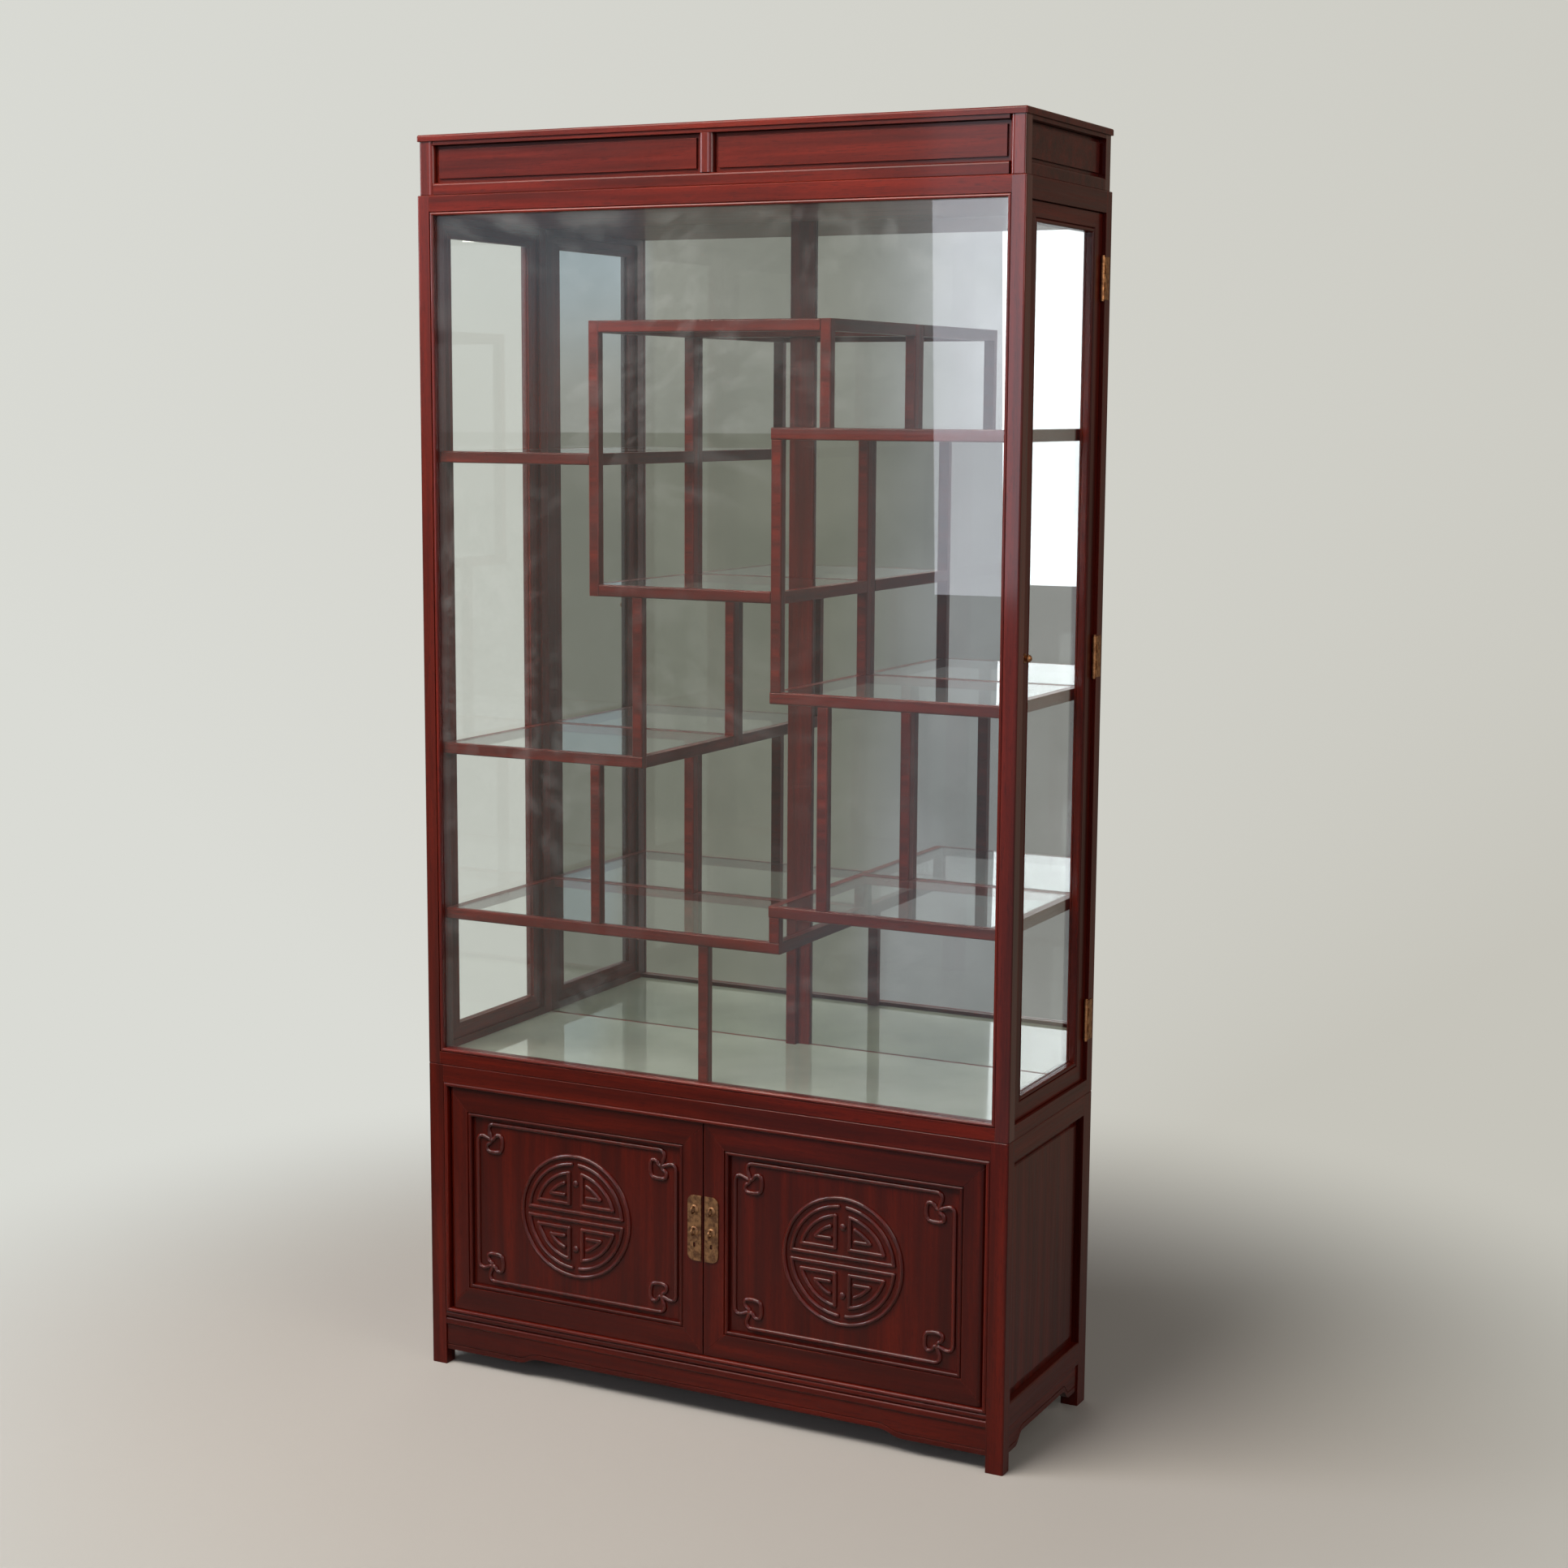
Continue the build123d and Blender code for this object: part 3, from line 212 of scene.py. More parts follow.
def makeWorld():
    world = bpy.data.worlds.new("studio")
    world.use_nodes = True
    tree = world.node_tree
    tree.nodes.clear()
    view = add(tree, "ShaderNodeTexCoord").outputs["Generated"]
    sideways, _, rise = axesOf(tree, view)
    left = ramp(tree, sideways, studio["leftReach"])
    daylight = ramp(tree, rise, studio["daylightReach"], last=left)
    wall = blend(tree, daylight, linear(studio["wallSide"]), linear(studio["leftSide"]))
    room = blend(tree, ramp(tree, rise, studio["ceilingReach"]), wall, linear(studio["ceilingSide"]))
    colour = backdropColour(tree, view, room, linear(studio["windowSide"]))
    shown = add(tree, "ShaderNodeBackground", {"Color": colour, "Strength": 1.0})
    fill = add(tree, "ShaderNodeBackground",
               {"Color": linear(studio["fillColour"]), "Strength": studio["fill"]})
    mix = add(tree, "ShaderNodeMixShader", {0: seenRays(tree), 1: fill.outputs[0], 2: shown.outputs[0]})
    add(tree, "ShaderNodeOutputWorld", {"Surface": mix.outputs[0]})
    scene.world = world


def makeFloor():
    bm = bmesh.new()
    bmesh.ops.create_circle(bm, cap_ends=True, segments=96, radius=studio["floorRadius"])
    mesh = bpy.data.meshes.new("floor")
    bm.to_mesh(mesh)
    bm.free()
    floor = bpy.data.objects.new("floor", mesh)
    scene.collection.objects.link(floor)
    material, tree, place = newMaterial("studioFloor")
    distance = add(tree, "ShaderNodeVectorMath", {0: place}, operation="LENGTH").outputs["Value"]
    fade = ramp(tree, distance, studio["fadeReach"])
    away = combine(tree, "NORMALIZE", place)
    colour = backdropColour(tree, away, linear(studio["farSide"]), linear(studio["windowFloor"]))
    far = add(tree, "ShaderNodeEmission", {"Color": colour, "Strength": seenRays(tree)})
    tone = blend(tree, seenRays(tree), linear(studio["floorBounce"]), linear(studio["floor"]))
    near = add(tree, "ShaderNodeBsdfPrincipled", {
        "Base Color": tone, "Roughness": studio["floorRoughness"],
        "Specular IOR Level": studio["floorShine"]})
    mix = add(tree, "ShaderNodeMixShader", {0: fade, 1: near.outputs[0], 2: far.outputs[0]})
    finishMaterial(tree, mix)
    mesh.materials.append(material)


def makeLamps():
    for name, (place, aim, width, height, power, colour) in lamps.items():
        light = bpy.data.lights.new(name, "AREA")
        light.shape = "RECTANGLE"
        light.size, light.size_y = width, height
        light.energy = power
        light.color = linear(colour)[:3]
        lamp = bpy.data.objects.new(name, light)
        lamp.location = place
        lamp.rotation_euler = (Vector(aim) - Vector(place)).to_track_quat("-Z", "Y").to_euler()
        lamp.visible_camera = False
        scene.collection.objects.link(lamp)


makeWorld()
makeFloor()
makeLamps()
print("studio ready")

# ---------- rosewood: stained and lacquered hardwood, planed boards under a thin satin lacquer,
# so the eye sees dark streaks along each board, short open pores and a soft gloss
rosewoodLook = {
    "dark": "#440E06",
    "body": "#591308",
    "light": "#6E1B0C",
    "poreColour": "#330905",
    "wornColour": "#8A4030",
    "figureStops": (0.30, 0.52, 0.74),
    "drift": (0.5, 0.12),  # length and width of a bend in the grain
    "figure": (0.42, 0.016),  # of a band of figure
    "cloud": (0.6, 0.25),  # of a paler or darker part
    "streak": (0.13, 0.0034),
    "pore": (0.024, 0.0015),  # real pores are 0.2 mm wide, drawn as wide as they show from across a room
    "ripple": (0.016, 0.0030),  # interlocked grain, in short strokes
    "rippleTilt": 0.42,  # turned from the grain, radians
    "warp": 0.016,
    "shadeReach": (0.32, 0.68),  # share of the noise over which the next three play
    "streakShade": (0.92, 1.08),
    "rippleShade": (0.95, 1.05),
    "cloudShade": (0.82, 1.17),
    "poreReach": (0.60, 0.68),
    "poreShare": 0.5,
    "poreDepth": 0.0002,
    "poreBump": 0.25,
    "arris": 0.0013,  # eased edges
    "edgeReach": (0.99, 0.86),
    "edgeShare": 0.75,
    "wornReach": (0.45, 0.62),
    "roughReach": (0.3, 0.7),
    "roughness": (0.32, 0.42),
    "ior": 1.5,
    "shine": 0.12,
    "coatRoughness": 0.08,
}


def rosewood(name, run, shift, mitred=None, tone=1.0, gloss=0.25):
    # run is the way the boards lie, across (X), deep (Y) or upright (Z), and two ways where members
    # cross; mitred names the node of a mitred frame, whose box has the corners
    look = rosewoodLook
    material, tree, place = newMaterial(name)
    axes = axesOf(tree, place)
    orders = {"across": (0, 1, 2), "deep": (1, 0, 2), "upright": (2, 0, 1)}
    lies = {
        way: add(tree, "ShaderNodeCombineXYZ", {i: axes[a] for i, a in enumerate(order)}).outputs[0]
        for way, order in orders.items()
        if way in run
    }
    if len(run) == 1:
        grain = lies[run[0]]
    elif mitred:  # the joint runs at 45 degrees from each outer corner
        low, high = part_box(mitred)
        level = 0 if "across" in run else 1
        past = []
        for i in (level, 2):
            off = calc(tree, "ABSOLUTE", calc(tree, "SUBTRACT", axes[i], (low[i] + high[i]) / 2))
            past.append(calc(tree, "SUBTRACT", off, (high[i] - low[i]) / 2))
        stile = calc(tree, "GREATER_THAN", *past)
        grain = add(tree, "ShaderNodeMix", {0: stile, 4: lies[run[0]], 5: lies["upright"]},
                    data_type="VECTOR").outputs[1]
    else:  # round-fronted bars: a post's face turns towards X, a bar's towards Z
        facing = add(tree, "ShaderNodeNewGeometry").outputs["Normal"]
        across, _, upward = axesOf(tree, combine(tree, "ABSOLUTE", facing))
        post = calc(tree, "GREATER_THAN", across, upward)
        grain = add(tree, "ShaderNodeMix", {0: post, 4: lies["across"], 5: lies["upright"]},
                    data_type="VECTOR").outputs[1]
    grain = combine(tree, "ADD", grain, shift)

    def grainNoise(vector, kind, detail):
        length, width = look[kind]
        scaled = combine(tree, "MULTIPLY", vector, (1 / length, 1 / width, 1 / width))
        return noise(tree, scaled, 1.0, detail)

    drift = grainNoise(grain, "drift", 2.0)["Color"]
    grain = combine(tree, "MULTIPLY_ADD", drift, (0, look["warp"], look["warp"]), grain)
    figure = grainNoise(grain, "figure", 4.0)["Fac"]
    streak = grainNoise(grain, "streak", 3.0)["Fac"]
    pore = grainNoise(grain, "pore", 1.0)["Fac"]
    tilt = (0, look["rippleTilt"], look["rippleTilt"])
    tilted = add(tree, "ShaderNodeMapping", {"Vector": grain, "Rotation": tilt}).outputs[0]
    ripple = grainNoise(tilted, "ripple", 1.0)["Fac"]
    cloud = grainNoise(grain, "cloud", 1.0)["Fac"]

    colour = shades(tree, figure, *zip(look["figureStops"], (look["dark"], look["body"], look["light"])))
    # tone scales the whole colour: below 1 on the base, apron, cupboard doors and carving it is painted
    # shade, above 1 on the glazing bead a painted highlight
    shade = tone
    for part, kind in ((streak, "streakShade"), (ripple, "rippleShade"), (cloud, "cloudShade")):
        shade = calc(tree, "MULTIPLY", remap(tree, part, look["shadeReach"], *look[kind]), shade)
    colour = add(tree, "ShaderNodeVectorMath", {0: colour, 3: shade}, operation="SCALE").outputs[0]
    pores = remap(tree, pore, look["poreReach"], last=look["poreShare"])
    colour = blend(tree, pores, colour, linear(look["poreColour"]))

    # eased edges: rounded in the light, and rubbed a little paler
    eased = add(tree, "ShaderNodeBevel", {"Radius": look["arris"]}, samples=4).outputs[0]
    flat = add(tree, "ShaderNodeNewGeometry").outputs["Normal"]
    turned = add(tree, "ShaderNodeVectorMath", {0: eased, 1: flat}, operation="DOT_PRODUCT").outputs["Value"]
    edge = remap(tree, turned, look["edgeReach"], last=look["edgeShare"])
    rubbed = calc(tree, "MULTIPLY", edge, remap(tree, streak, look["wornReach"]))
    colour = blend(tree, rubbed, colour, linear(look["wornColour"]))
    bump = add(tree, "ShaderNodeBump", {
        "Strength": look["poreBump"], "Distance": look["poreDepth"],
        "Height": calc(tree, "MULTIPLY", pores, -1.0), "Normal": eased}).outputs[0]
    rough = remap(tree, streak, look["roughReach"], *look["roughness"])
    wood = add(tree, "ShaderNodeBsdfPrincipled", {
        "Base Color": colour, "Roughness": rough, "Normal": bump, "IOR": look["ior"],
        "Specular IOR Level": look["shine"], "Coat Weight": gloss, "Coat Roughness": look["coatRoughness"]})
    finishMaterial(tree, wood)
    return material


# ---------- panes: float glass, clear, with a faint film where it was wiped in arcs
paneLook = {
    "tint": "#F8FAF8",
    "film": "#DDE3E4",
    "filmShare": 0.045,
    "sidesShare": 0.5,  # of that film, on the side doors and the shelves
    "evenShare": 0.12,  # of that film, between the marks too
    "wipe": (0.9, 0.035),  # length and width of a wiping mark
    "turn": (0.55, -0.4, 0.7),  # turn of the marks, radians
    "bendScale": 2.2,  # arcs of the marks
    "bend": 0.35,
    "markReach": (0.48, 0.78),
    "patchScale": 3.1,
    "patchReach": (0.45, 0.65),
    "ior": 1.52,
}


def floatGlass(name, film):
    look = paneLook
    material, tree, place = newMaterial(name)
    turned = add(tree, "ShaderNodeMapping", {"Vector": place, "Rotation": look["turn"]}).outputs[0]
    bent = noise(tree, place, look["bendScale"], 1.0)["Color"]
    curved = combine(tree, "MULTIPLY_ADD", bent, (look["bend"],) * 3, turned)
    long, narrow = look["wipe"]
    strokes = combine(tree, "MULTIPLY", curved, (1 / long, 1 / narrow, 1 / narrow))
    marks = remap(tree, noise(tree, strokes, 1.0, 4.0)["Fac"], look["markReach"], last=film)
    patches = remap(tree, noise(tree, place, look["patchScale"], 2.0)["Fac"], look["patchReach"])
    haze = calc(tree, "ADD", calc(tree, "MULTIPLY", marks, patches), film * look["evenShare"])
    glass = add(tree, "ShaderNodeBsdfPrincipled", {
        "Base Color": linear(look["tint"]), "Roughness": 0.0, "IOR": look["ior"],
        "Transmission Weight": 1.0})
    dust = add(tree, "ShaderNodeBsdfDiffuse", {"Color": linear(look["film"])})
    pane = add(tree, "ShaderNodeMixShader", {0: haze, 1: glass.outputs[0], 2: dust.outputs[0]})
    rays = add(tree, "ShaderNodeLightPath").outputs
    lit = calc(tree, "MAXIMUM", rays["Is Shadow Ray"], rays["Is Diffuse Ray"])
    through = add(tree, "ShaderNodeBsdfTransparent", {"Color": linear(look["tint"])})
    mix = add(tree, "ShaderNodeMixShader", {0: lit, 1: pane.outputs[0], 2: through.outputs[0]})
    finishMaterial(tree, mix)
    return material


# ---------- floor glass: pale grey-green glass on the display floor, polished, with fine dust
floorGlassLook = {
    "tint": "#ACB3AA",
    "shade": "#9CA49B",
    "cloudScale": 6.0,
    "dust": 0.0044,  # a cell of the noise, so that its specks are about a millimetre wide
    "dustReach": (0.4, 0.7),
    "roughness": (0.03, 0.09),
    "ior": 1.52,
    "coat": 0.6,
    "coatRoughness": 0.02,
}


def greyGreenGlass():
    look = floorGlassLook
    material, tree, place = newMaterial("greyGreenGlass")
    clouds = noise(tree, place, look["cloudScale"], 3.0)["Fac"]
    specks = noise(tree, place, 1 / look["dust"], 2.0)["Fac"]
    colour = shades(tree, clouds, (0.35, look["shade"]), (0.65, look["tint"]))
    rough = remap(tree, specks, look["dustReach"], *look["roughness"])
    glass = add(tree, "ShaderNodeBsdfPrincipled", {
        "Base Color": colour, "Roughness": rough, "IOR": look["ior"], "Coat Weight": look["coat"],
        "Coat Roughness": look["coatRoughness"]})
    finishMaterial(tree, glass)
    return material


# ---------- mirror: silvered float glass, very slightly grey
mirrorLook = {"silver": "#DCDFDA", "dull": "#CCD0CA", "cloudScale": 4.0, "roughness": 0.0}


def silveredGlass():
    look = mirrorLook
    material, tree, place = newMaterial("silveredGlass")
    clouds = noise(tree, place, look["cloudScale"], 4.0)["Fac"]
    colour = shades(tree, clouds, (0.4, look["dull"]), (0.6, look["silver"]))
    mirror = add(tree, "ShaderNodeBsdfPrincipled", {
        "Base Color": colour, "Metallic": 1.0, "Roughness": look["roughness"]})
    finishMaterial(tree, mirror)
    return material


# ---------- brass: cast and filed, its lacquer worn off, brown in patches and bright where touched
brassLook = {
    "plates": ("#977250", "#624634", 0.42),  # bright, brown and roughness of the bright parts
    "hinges": ("#BF8A5C", "#8A5F40", 0.36),
    "duller": 0.14,  # added roughness of the brown parts
    "spotScale": 160.0,
    "spotReach": (0.35, 0.65),
    "grainScale": 1400.0,
    "grainBump": 0.2,
    "grainDepth": 0.0001,
    "arris": 0.0006,
}


def agedBrass(name, kind):
    look = brassLook
    bright, brown, rough = look[kind]
    material, tree, place = newMaterial(name)
    spots = noise(tree, place, look["spotScale"], 4.0)["Fac"]
    fine = noise(tree, place, look["grainScale"], 2.0)["Fac"]
    colour = shades(tree, spots, (0.36, brown), (0.62, bright))
    dull = remap(tree, spots, look["spotReach"], rough + look["duller"], rough)
    eased = add(tree, "ShaderNodeBevel", {"Radius": look["arris"]}, samples=4).outputs[0]
    bump = add(tree, "ShaderNodeBump", {"Strength": look["grainBump"], "Distance": look["grainDepth"],
                                        "Height": fine, "Normal": eased}).outputs[0]
    brass = add(tree, "ShaderNodeBsdfPrincipled", {
        "Base Color": colour, "Metallic": 1.0, "Roughness": dull, "Normal": bump})
    finishMaterial(tree, brass)
    return material


# ---------- backing board: stained plywood behind the mirror and the cupboard, left unlacquered
boardLook = {
    "dark": "#4A3324",
    "light": "#6B4B35",
    "grain": (0.30, 0.006),  # length and width of a line of grain
    "driftScale": 3.0,
    "drift": 0.05,
    "roughness": 0.72,
    "bump": 0.3,
    "depth": 0.0003,
}


def stainedPlywood():
    look = boardLook
    material, tree, place = newMaterial("stainedPlywood")
    long, narrow = look["grain"]
    drift = noise(tree, place, look["driftScale"], 2.0)["Color"]
    bent = combine(tree, "MULTIPLY_ADD", drift, (look["drift"], look["drift"], 0.0), place)
    lined = combine(tree, "MULTIPLY", bent, (1 / narrow, 1 / narrow, 1 / long))
    grain = noise(tree, lined, 1.0, 4.0)["Fac"]
    colour = shades(tree, grain, (0.35, look["dark"]), (0.68, look["light"]))
    bump = add(tree, "ShaderNodeBump", {
        "Strength": look["bump"], "Distance": look["depth"], "Height": grain}).outputs[0]
    board = add(tree, "ShaderNodeBsdfPrincipled", {
        "Base Color": colour, "Roughness": look["roughness"], "Normal": bump})
    finishMaterial(tree, board)
    return material


# ---------- magnet catches: nickel-plated pots, slightly tarnished
steelLook = {"dark": "#8D8B86", "light": "#B4B1AA", "spotScale": 600.0, "roughness": 0.32}


def platedSteel():
    look = steelLook
    material, tree, place = newMaterial("platedSteel")
    spots = noise(tree, place, look["spotScale"], 3.0)["Fac"]
    colour = shades(tree, spots, (0.4, look["dark"]), (0.6, look["light"]))
    steel = add(tree, "ShaderNodeBsdfPrincipled", {
        "Base Color": colour, "Metallic": 1.0, "Roughness": look["roughness"]})
    finishMaterial(tree, steel)
    return material


def dress(material, *names):
    for name in names:
        slots = nodes[name].data.materials
        for i in range(len(slots)):
            slots[i] = material


# each wood's look and the members cut from it; a shift keeps two woods from showing the same figure
woods = {
    # the base's tone of 0.77 and the apron's 0.68 paint them darker: painted shade for the light that falls
    # off towards the floor
    "rosewoodBaseRailsPaintedShade": (
        {"run": ["across"], "shift": (0.0, 0.0, 0.0), "tone": 0.77},
        ("base_front_rails", "base_rear_rails", "base_floor_board", "base_top_board")),
    "rosewoodApronPaintedShade": (
        {"run": ["across"], "shift": (0.0, 0.0, 0.0), "tone": 0.68},
        ("front_apron",)),
    "rosewoodCaseRails": (
        {"run": ["across"], "shift": (0.9, 0.5, 0.2)},
        ("case_front_rails", "case_rear_rails", "case_ceiling", "display_floor_board",
         "display_floor_strip", "crown_top_board")),
    "rosewoodCrownRails": (
        {"run": ["across"], "shift": (1.7, 0.3, 0.9), "tone": 0.82},
        ("crown_rails",)),
    "rosewoodCrownPanels": (
        {"run": ["across"], "shift": (5.2, 2.4, 0.6), "tone": 0.85},
        ("crown_panels",)),
    "rosewoodDeep": (
        {"run": ["deep"], "shift": (3.1, 0.7, 0.2)},
        ("base_side_rails", "side_aprons", "case_side_rails", "shelf_side_rails")),
    "rosewoodUpright": (
        {"run": ["upright"], "shift": (0.6, 1.9, 0.4)},
        ("base_posts", "case_rear_posts", "mirror_centre_stile", "base_side_panel_left",
         "base_side_panel_right")),
    "rosewoodFrontPosts": (
        {"run": ["upright"], "shift": (0.6, 1.9, 0.4), "gloss": 0.7},
        ("case_front_posts", "crown_posts")),
    "rosewoodLattice": (
        {"run": ["across", "upright"], "shift": (2.2, 0.1, 1.3)},
        ("lattice_front", "lattice_rear")),
    "rosewoodOpeningBead": (
        {"run": ["across", "upright"], "shift": (0.3, 0.5, 0.8), "mitred": "door_opening_bead"},
        ("door_opening_bead",)),
    # the glazing bead's tone of 1.25 paints it paler than the rest of the wood: a painted highlight along
    # the bead round the front opening
    "rosewoodGlazingBeadPaintedHighlight": (
        {"run": ["across", "upright"], "shift": (0.3, 0.5, 0.8), "mitred": "front_glazing_bead",
         "tone": 1.25, "gloss": 0.6},
        ("front_glazing_bead",)),
    # the cupboard doors' tone of 0.70 paints them darker: painted shade for the light that falls off towards
    # the bottom of the cabinet
    "rosewoodDoorFrameLeftPaintedShade": (
        {"run": ["across", "upright"], "shift": (1.1, 0.6, 0.3), "mitred": "cupboard_door_left_frame",
         "tone": 0.70},
        ("cupboard_door_left_frame",)),
    "rosewoodDoorFrameRightPaintedShade": (
        {"run": ["across", "upright"], "shift": (2.1, 0.6, 0.3), "mitred": "cupboard_door_right_frame",
         "tone": 0.70},
        ("cupboard_door_right_frame",)),
    "rosewoodDoorPanelLeftPaintedShade": (
        {"run": ["upright"], "shift": (4.1, 0.2, 0.7), "tone": 0.70},
        ("cupboard_door_left_panel",)),
    "rosewoodDoorPanelRightPaintedShade": (
        {"run": ["upright"], "shift": (5.1, 0.2, 0.7), "tone": 0.70},
        ("cupboard_door_right_panel",)),
    "rosewoodSideDoorLeft": (
        {"run": ["deep", "upright"], "shift": (2.1, 0.9, 0.1), "mitred": "side_door_left_frame"},
        ("side_door_left_frame", "side_door_left_glazing_bead")),
    "rosewoodSideDoorRight": (
        {"run": ["deep", "upright"], "shift": (3.1, 0.9, 0.1), "mitred": "side_door_right_frame"},
        ("side_door_right_frame", "side_door_right_glazing_bead")),
}
for name, (look, members) in woods.items():
    dress(rosewood(name, **look), *members)
print("wood ready")

dress(floatGlass("floatGlassFront", paneLook["filmShare"]), "front_glass")
dress(floatGlass("floatGlassSides", paneLook["filmShare"] * paneLook["sidesShare"]),
      "side_door_left_glass", "side_door_right_glass", "shelf_glass")
dress(greyGreenGlass(), "display_floor_glass")
dress(silveredGlass(), "mirror_panes")
plateBrass = agedBrass("agedBrassPlates", "plates")
dress(plateBrass, "cupboard_door_left_lock_plate", "cupboard_door_right_lock_plate")
dress(agedBrass("agedBrassHinges", "hinges"), "hinge_case_leaves", "hinge_pins",
      "side_door_left_hinge_leaves", "side_door_right_hinge_leaves", "side_door_left_knob",
      "side_door_right_knob", "pivot_bushes", "cupboard_door_left_pivot_pins",
      "cupboard_door_right_pivot_pins")
dress(stainedPlywood(), "base_back_panel", "case_back_board", "crown_back_panel")
dress(platedSteel(), "door_magnets")
print("glass, brass and boards ready")

# ---------- carving on the doors: a round medallion and a border with scrolled corners, each line a
# rounded ridge that stands out of the panel. Millimetres from the middle of the panel.
carving = {
    "ridge": 3.75,  # half width of a ridge
    "height": 4.2,  # of a ridge
    "ridgeRings": 3,  # roundness of a ridge
    "turnSteps": 5,  # pieces between two points of a scroll
    "edge": 16.5,  # from the edge of the panel to the border
    # radius of each ring, and how far from the axes its quarters stop
    "rings": ((99.0, 0.0, 0.0), (86.0, 7.0, 7.0), (72.0, 12.0, 20.0), (57.0, 21.0, 34.0)),
    "bars": ((0.0, 86.0, 7.0), (12.0, 69.2, 20.0), (21.0, 45.7, 34.0)),  # from, to and height
    "upright": 12.0,  # of the upright bars, from the middle
    "dot": (54.0, 6.0),  # height and radius
    "dotDepth": 0.5,  # depth of a dot, as a share of its radius
    "beadEnd": 30.0,  # from a corner to the straight part of the border
    "sheen": 0.55,
    # tone below 1 paints the carving darker, the same painted shade as the doors it sits on; it stays above
    # the panels' 0.70 where the ridges are rubbed paler
    "tone": 0.8,
}
quarters = [(sideways, upward) for sideways in (-1, 1) for upward in (-1, 1)]
# from the straight bead, in along it and out from it, to the tip on the diagonal of the corner
scrollRoute = ((30, 0), (25, 1.5), (21.5, 6), (21.5, 12), (24, 18.5), (26, 26), (24.5, 31), (20, 34),
               (17.5, 38.5), (18.5, 43.5), (23, 46), (30, 46.6), (37, 46), (43.6, 43.6))


def arcPoints(radius, start, end, steps=24):
    return [(radius * math.cos(a), radius * math.sin(a))
            for a in (start + (end - start) * i / steps for i in range(steps + 1))]


def carvedRoutes(halfWidth, halfHeight):
    straight, smooth = [], []
    for radius, split, rise in carving["rings"]:
        if not split:
            straight += [arcPoints(radius, 0, math.pi), arcPoints(radius, math.pi, 2 * math.pi)]
            continue
        low, high = math.asin(rise / radius), math.acos(split / radius)
        for sideways, upward in quarters:
            straight.append([(sideways * u, upward * v) for u, v in arcPoints(radius, low, high)])
    post, ring, foot = carving["upright"], carving["rings"][2][0], carving["bars"][1][2]
    top = math.sqrt(ring ** 2 - post ** 2)
    turn = list(scrollRoute) + [(v, u) for u, v in reversed(scrollRoute[:-1])]
    for sideways, upward in quarters:
        for near, far, rise in carving["bars"]:
            straight.append([(sideways * near, upward * rise), (sideways * far, upward * rise)])
        straight.append([(sideways * post, upward * foot), (sideways * post, upward * top)])
        smooth.append([(sideways * (halfWidth - u), upward * (halfHeight - v)) for u, v in turn])
    end = carving["beadEnd"]
    for side in (-1, 1):
        straight.append([(end - halfWidth, side * halfHeight), (halfWidth - end, side * halfHeight)])
        straight.append([(side * halfWidth, end - halfHeight), (side * halfWidth, halfHeight - end)])
    return straight, smooth


def addPiece(name, bm, material, body):
    mesh = bpy.data.meshes.new(name)
    bm.to_mesh(mesh)
    bm.free()
    mesh.shade_smooth()
    mesh.set_sharp_from_angle(angle=sharpFrom)
    mesh.materials.append(material)
    piece = bpy.data.objects.new(name, mesh)
    scene.collection.objects.link(piece)
    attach(piece, body)
    return piece


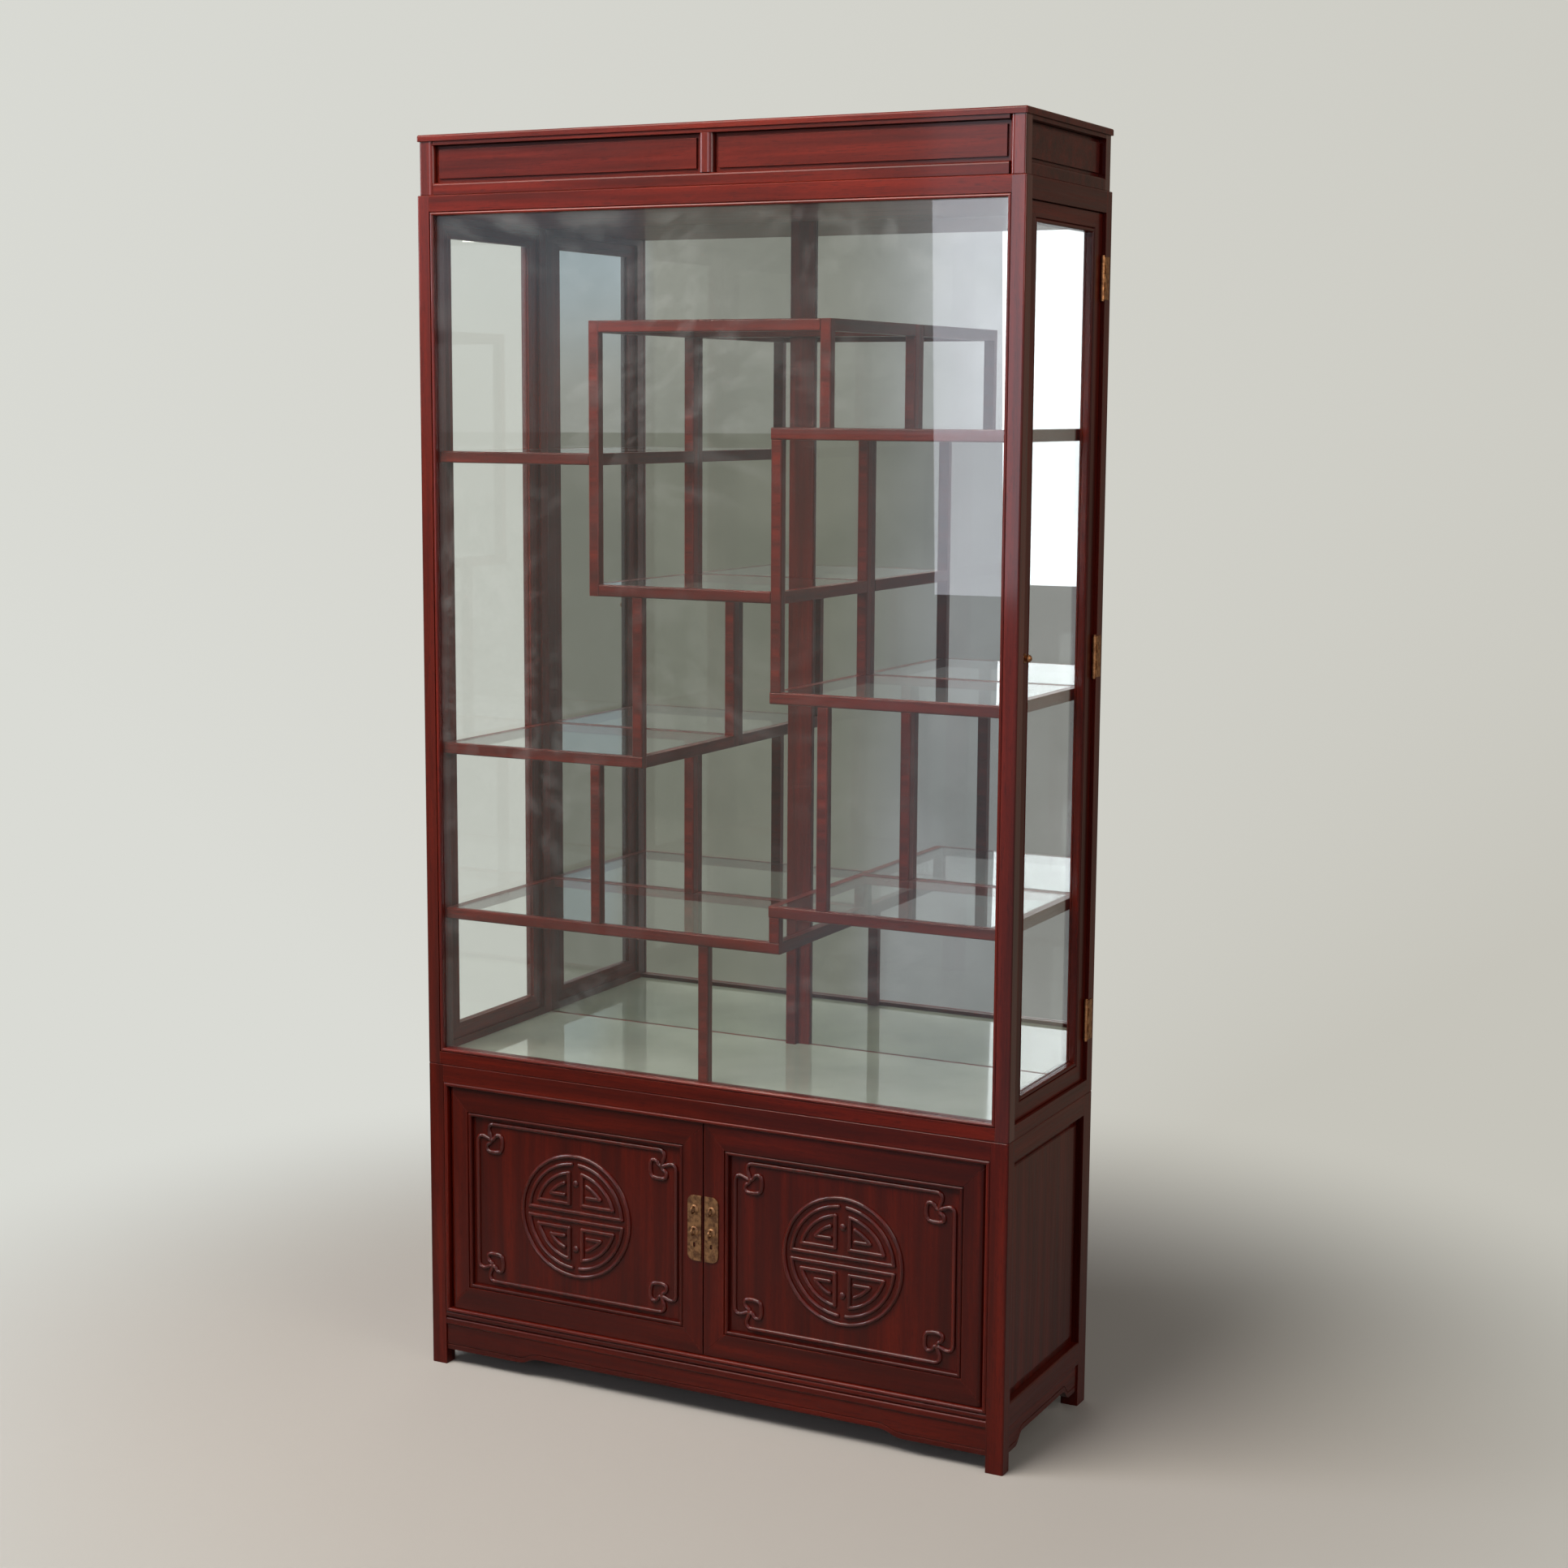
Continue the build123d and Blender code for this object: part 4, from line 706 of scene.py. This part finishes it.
def carveDoor(hand, wood):
    low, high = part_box("cupboard_door_" + hand + "_panel")
    middle = (low + high) / 2
    halfWidth = (high.x - low.x) / 2 / mm - carving["edge"]
    halfHeight = (high.z - low.z) / 2 / mm - carving["edge"]
    straight, smooth = carvedRoutes(halfWidth, halfHeight)
    curve = bpy.data.curves.new("ridges", "CURVE")
    curve.dimensions = "3D"
    curve.bevel_depth = carving["ridge"]
    curve.bevel_resolution = carving["ridgeRings"]
    curve.use_fill_caps = True
    curve.resolution_u = carving["turnSteps"]
    for points in straight:
        spline = curve.splines.new("POLY")
        spline.points.add(len(points) - 1)
        for point, (x, z) in zip(spline.points, points):
            point.co = (x, 0, z, 1)
    for points in smooth:
        spline = curve.splines.new("BEZIER")
        spline.bezier_points.add(len(points) - 1)
        for point, (x, z) in zip(spline.bezier_points, points):
            point.co = (x, 0, z)
            point.handle_left_type = point.handle_right_type = "AUTO"
    holder = bpy.data.objects.new("ridges", curve)
    scene.collection.objects.link(holder)
    evaluated = holder.evaluated_get(bpy.context.evaluated_depsgraph_get())
    swept = bpy.data.meshes.new_from_object(evaluated)
    bpy.data.objects.remove(holder)
    bm = bmesh.new()
    ends = [end for points in straight for end in (points[0], points[-1])]
    for x, z in ends:  # rounded ends
        bmesh.ops.create_uvsphere(bm, u_segments=12, v_segments=8, radius=carving["ridge"],
                                  matrix=Matrix.Translation((x, 0, z)))
    rise, radius = carving["dot"]
    flat = Matrix.Diagonal((1, carving["dotDepth"], 1, 1))
    for z in (-rise, rise):
        bmesh.ops.create_uvsphere(bm, u_segments=20, v_segments=10, radius=radius,
                                  matrix=Matrix.Translation((0, 0, z)) @ flat)
    bm.from_mesh(swept)
    bmesh.ops.remove_doubles(bm, verts=bm.verts, dist=0.001)
    flatten = Matrix.Diagonal((mm, mm * carving["height"] / carving["ridge"], mm, 1))
    bm.transform(Matrix.Translation((middle.x, low.y, middle.z)) @ flatten)
    bmesh.ops.recalc_face_normals(bm, faces=bm.faces)
    door = "cupboard_door_" + hand
    piece = addPiece("cupboardDoor" + hand.title() + "Carving", bm, wood, door)
    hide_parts(door + "_carving")


carvedWood = rosewood("rosewoodCarvingInPaintedShade", ["upright"], (6.3, 1.2, 0.5), tone=carving["tone"],
                      gloss=carving["sheen"])
for hand in ("left", "right"):
    carveDoor(hand, carvedWood)
print("doors carved")

# ---------- turned brass on the lock plates: a domed washer at the foot of each staple
domes = {
    "radius": 7.6,
    "height": 2.6,
    "plate": 2.0,  # thickness of the lock plate
    "sunk": 0.3,  # of the dome's rim, in the plate
    "rises": (30.0, -5.0),  # from the middle of the plate
}


def lockDomes(hand, material):
    low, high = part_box("cupboard_door_" + hand + "_lock_plate")
    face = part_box("cupboard_door_" + hand + "_frame")[0].y - domes["plate"] * mm
    bm = bmesh.new()
    flat = Matrix.Diagonal((1, domes["height"] / domes["radius"], 1, 1))
    for rise in domes["rises"]:
        place = Matrix.Translation(((low.x + high.x) / 2, face, (low.z + high.z) / 2 + rise * mm))
        bmesh.ops.create_uvsphere(bm, u_segments=32, v_segments=16, radius=domes["radius"] * mm,
                                  matrix=place @ flat)
    rim = face + domes["sunk"] * mm
    bmesh.ops.bisect_plane(bm, geom=bm.verts[:] + bm.edges[:] + bm.faces[:], plane_co=(0, rim, 0),
                           plane_no=(0, 1, 0), clear_outer=True)
    addPiece("cupboardDoor" + hand.title() + "LockDomes", bm, material, "cupboard_door_" + hand)


for hand in ("left", "right"):
    lockDomes(hand, plateBrass)
print("domes fitted")
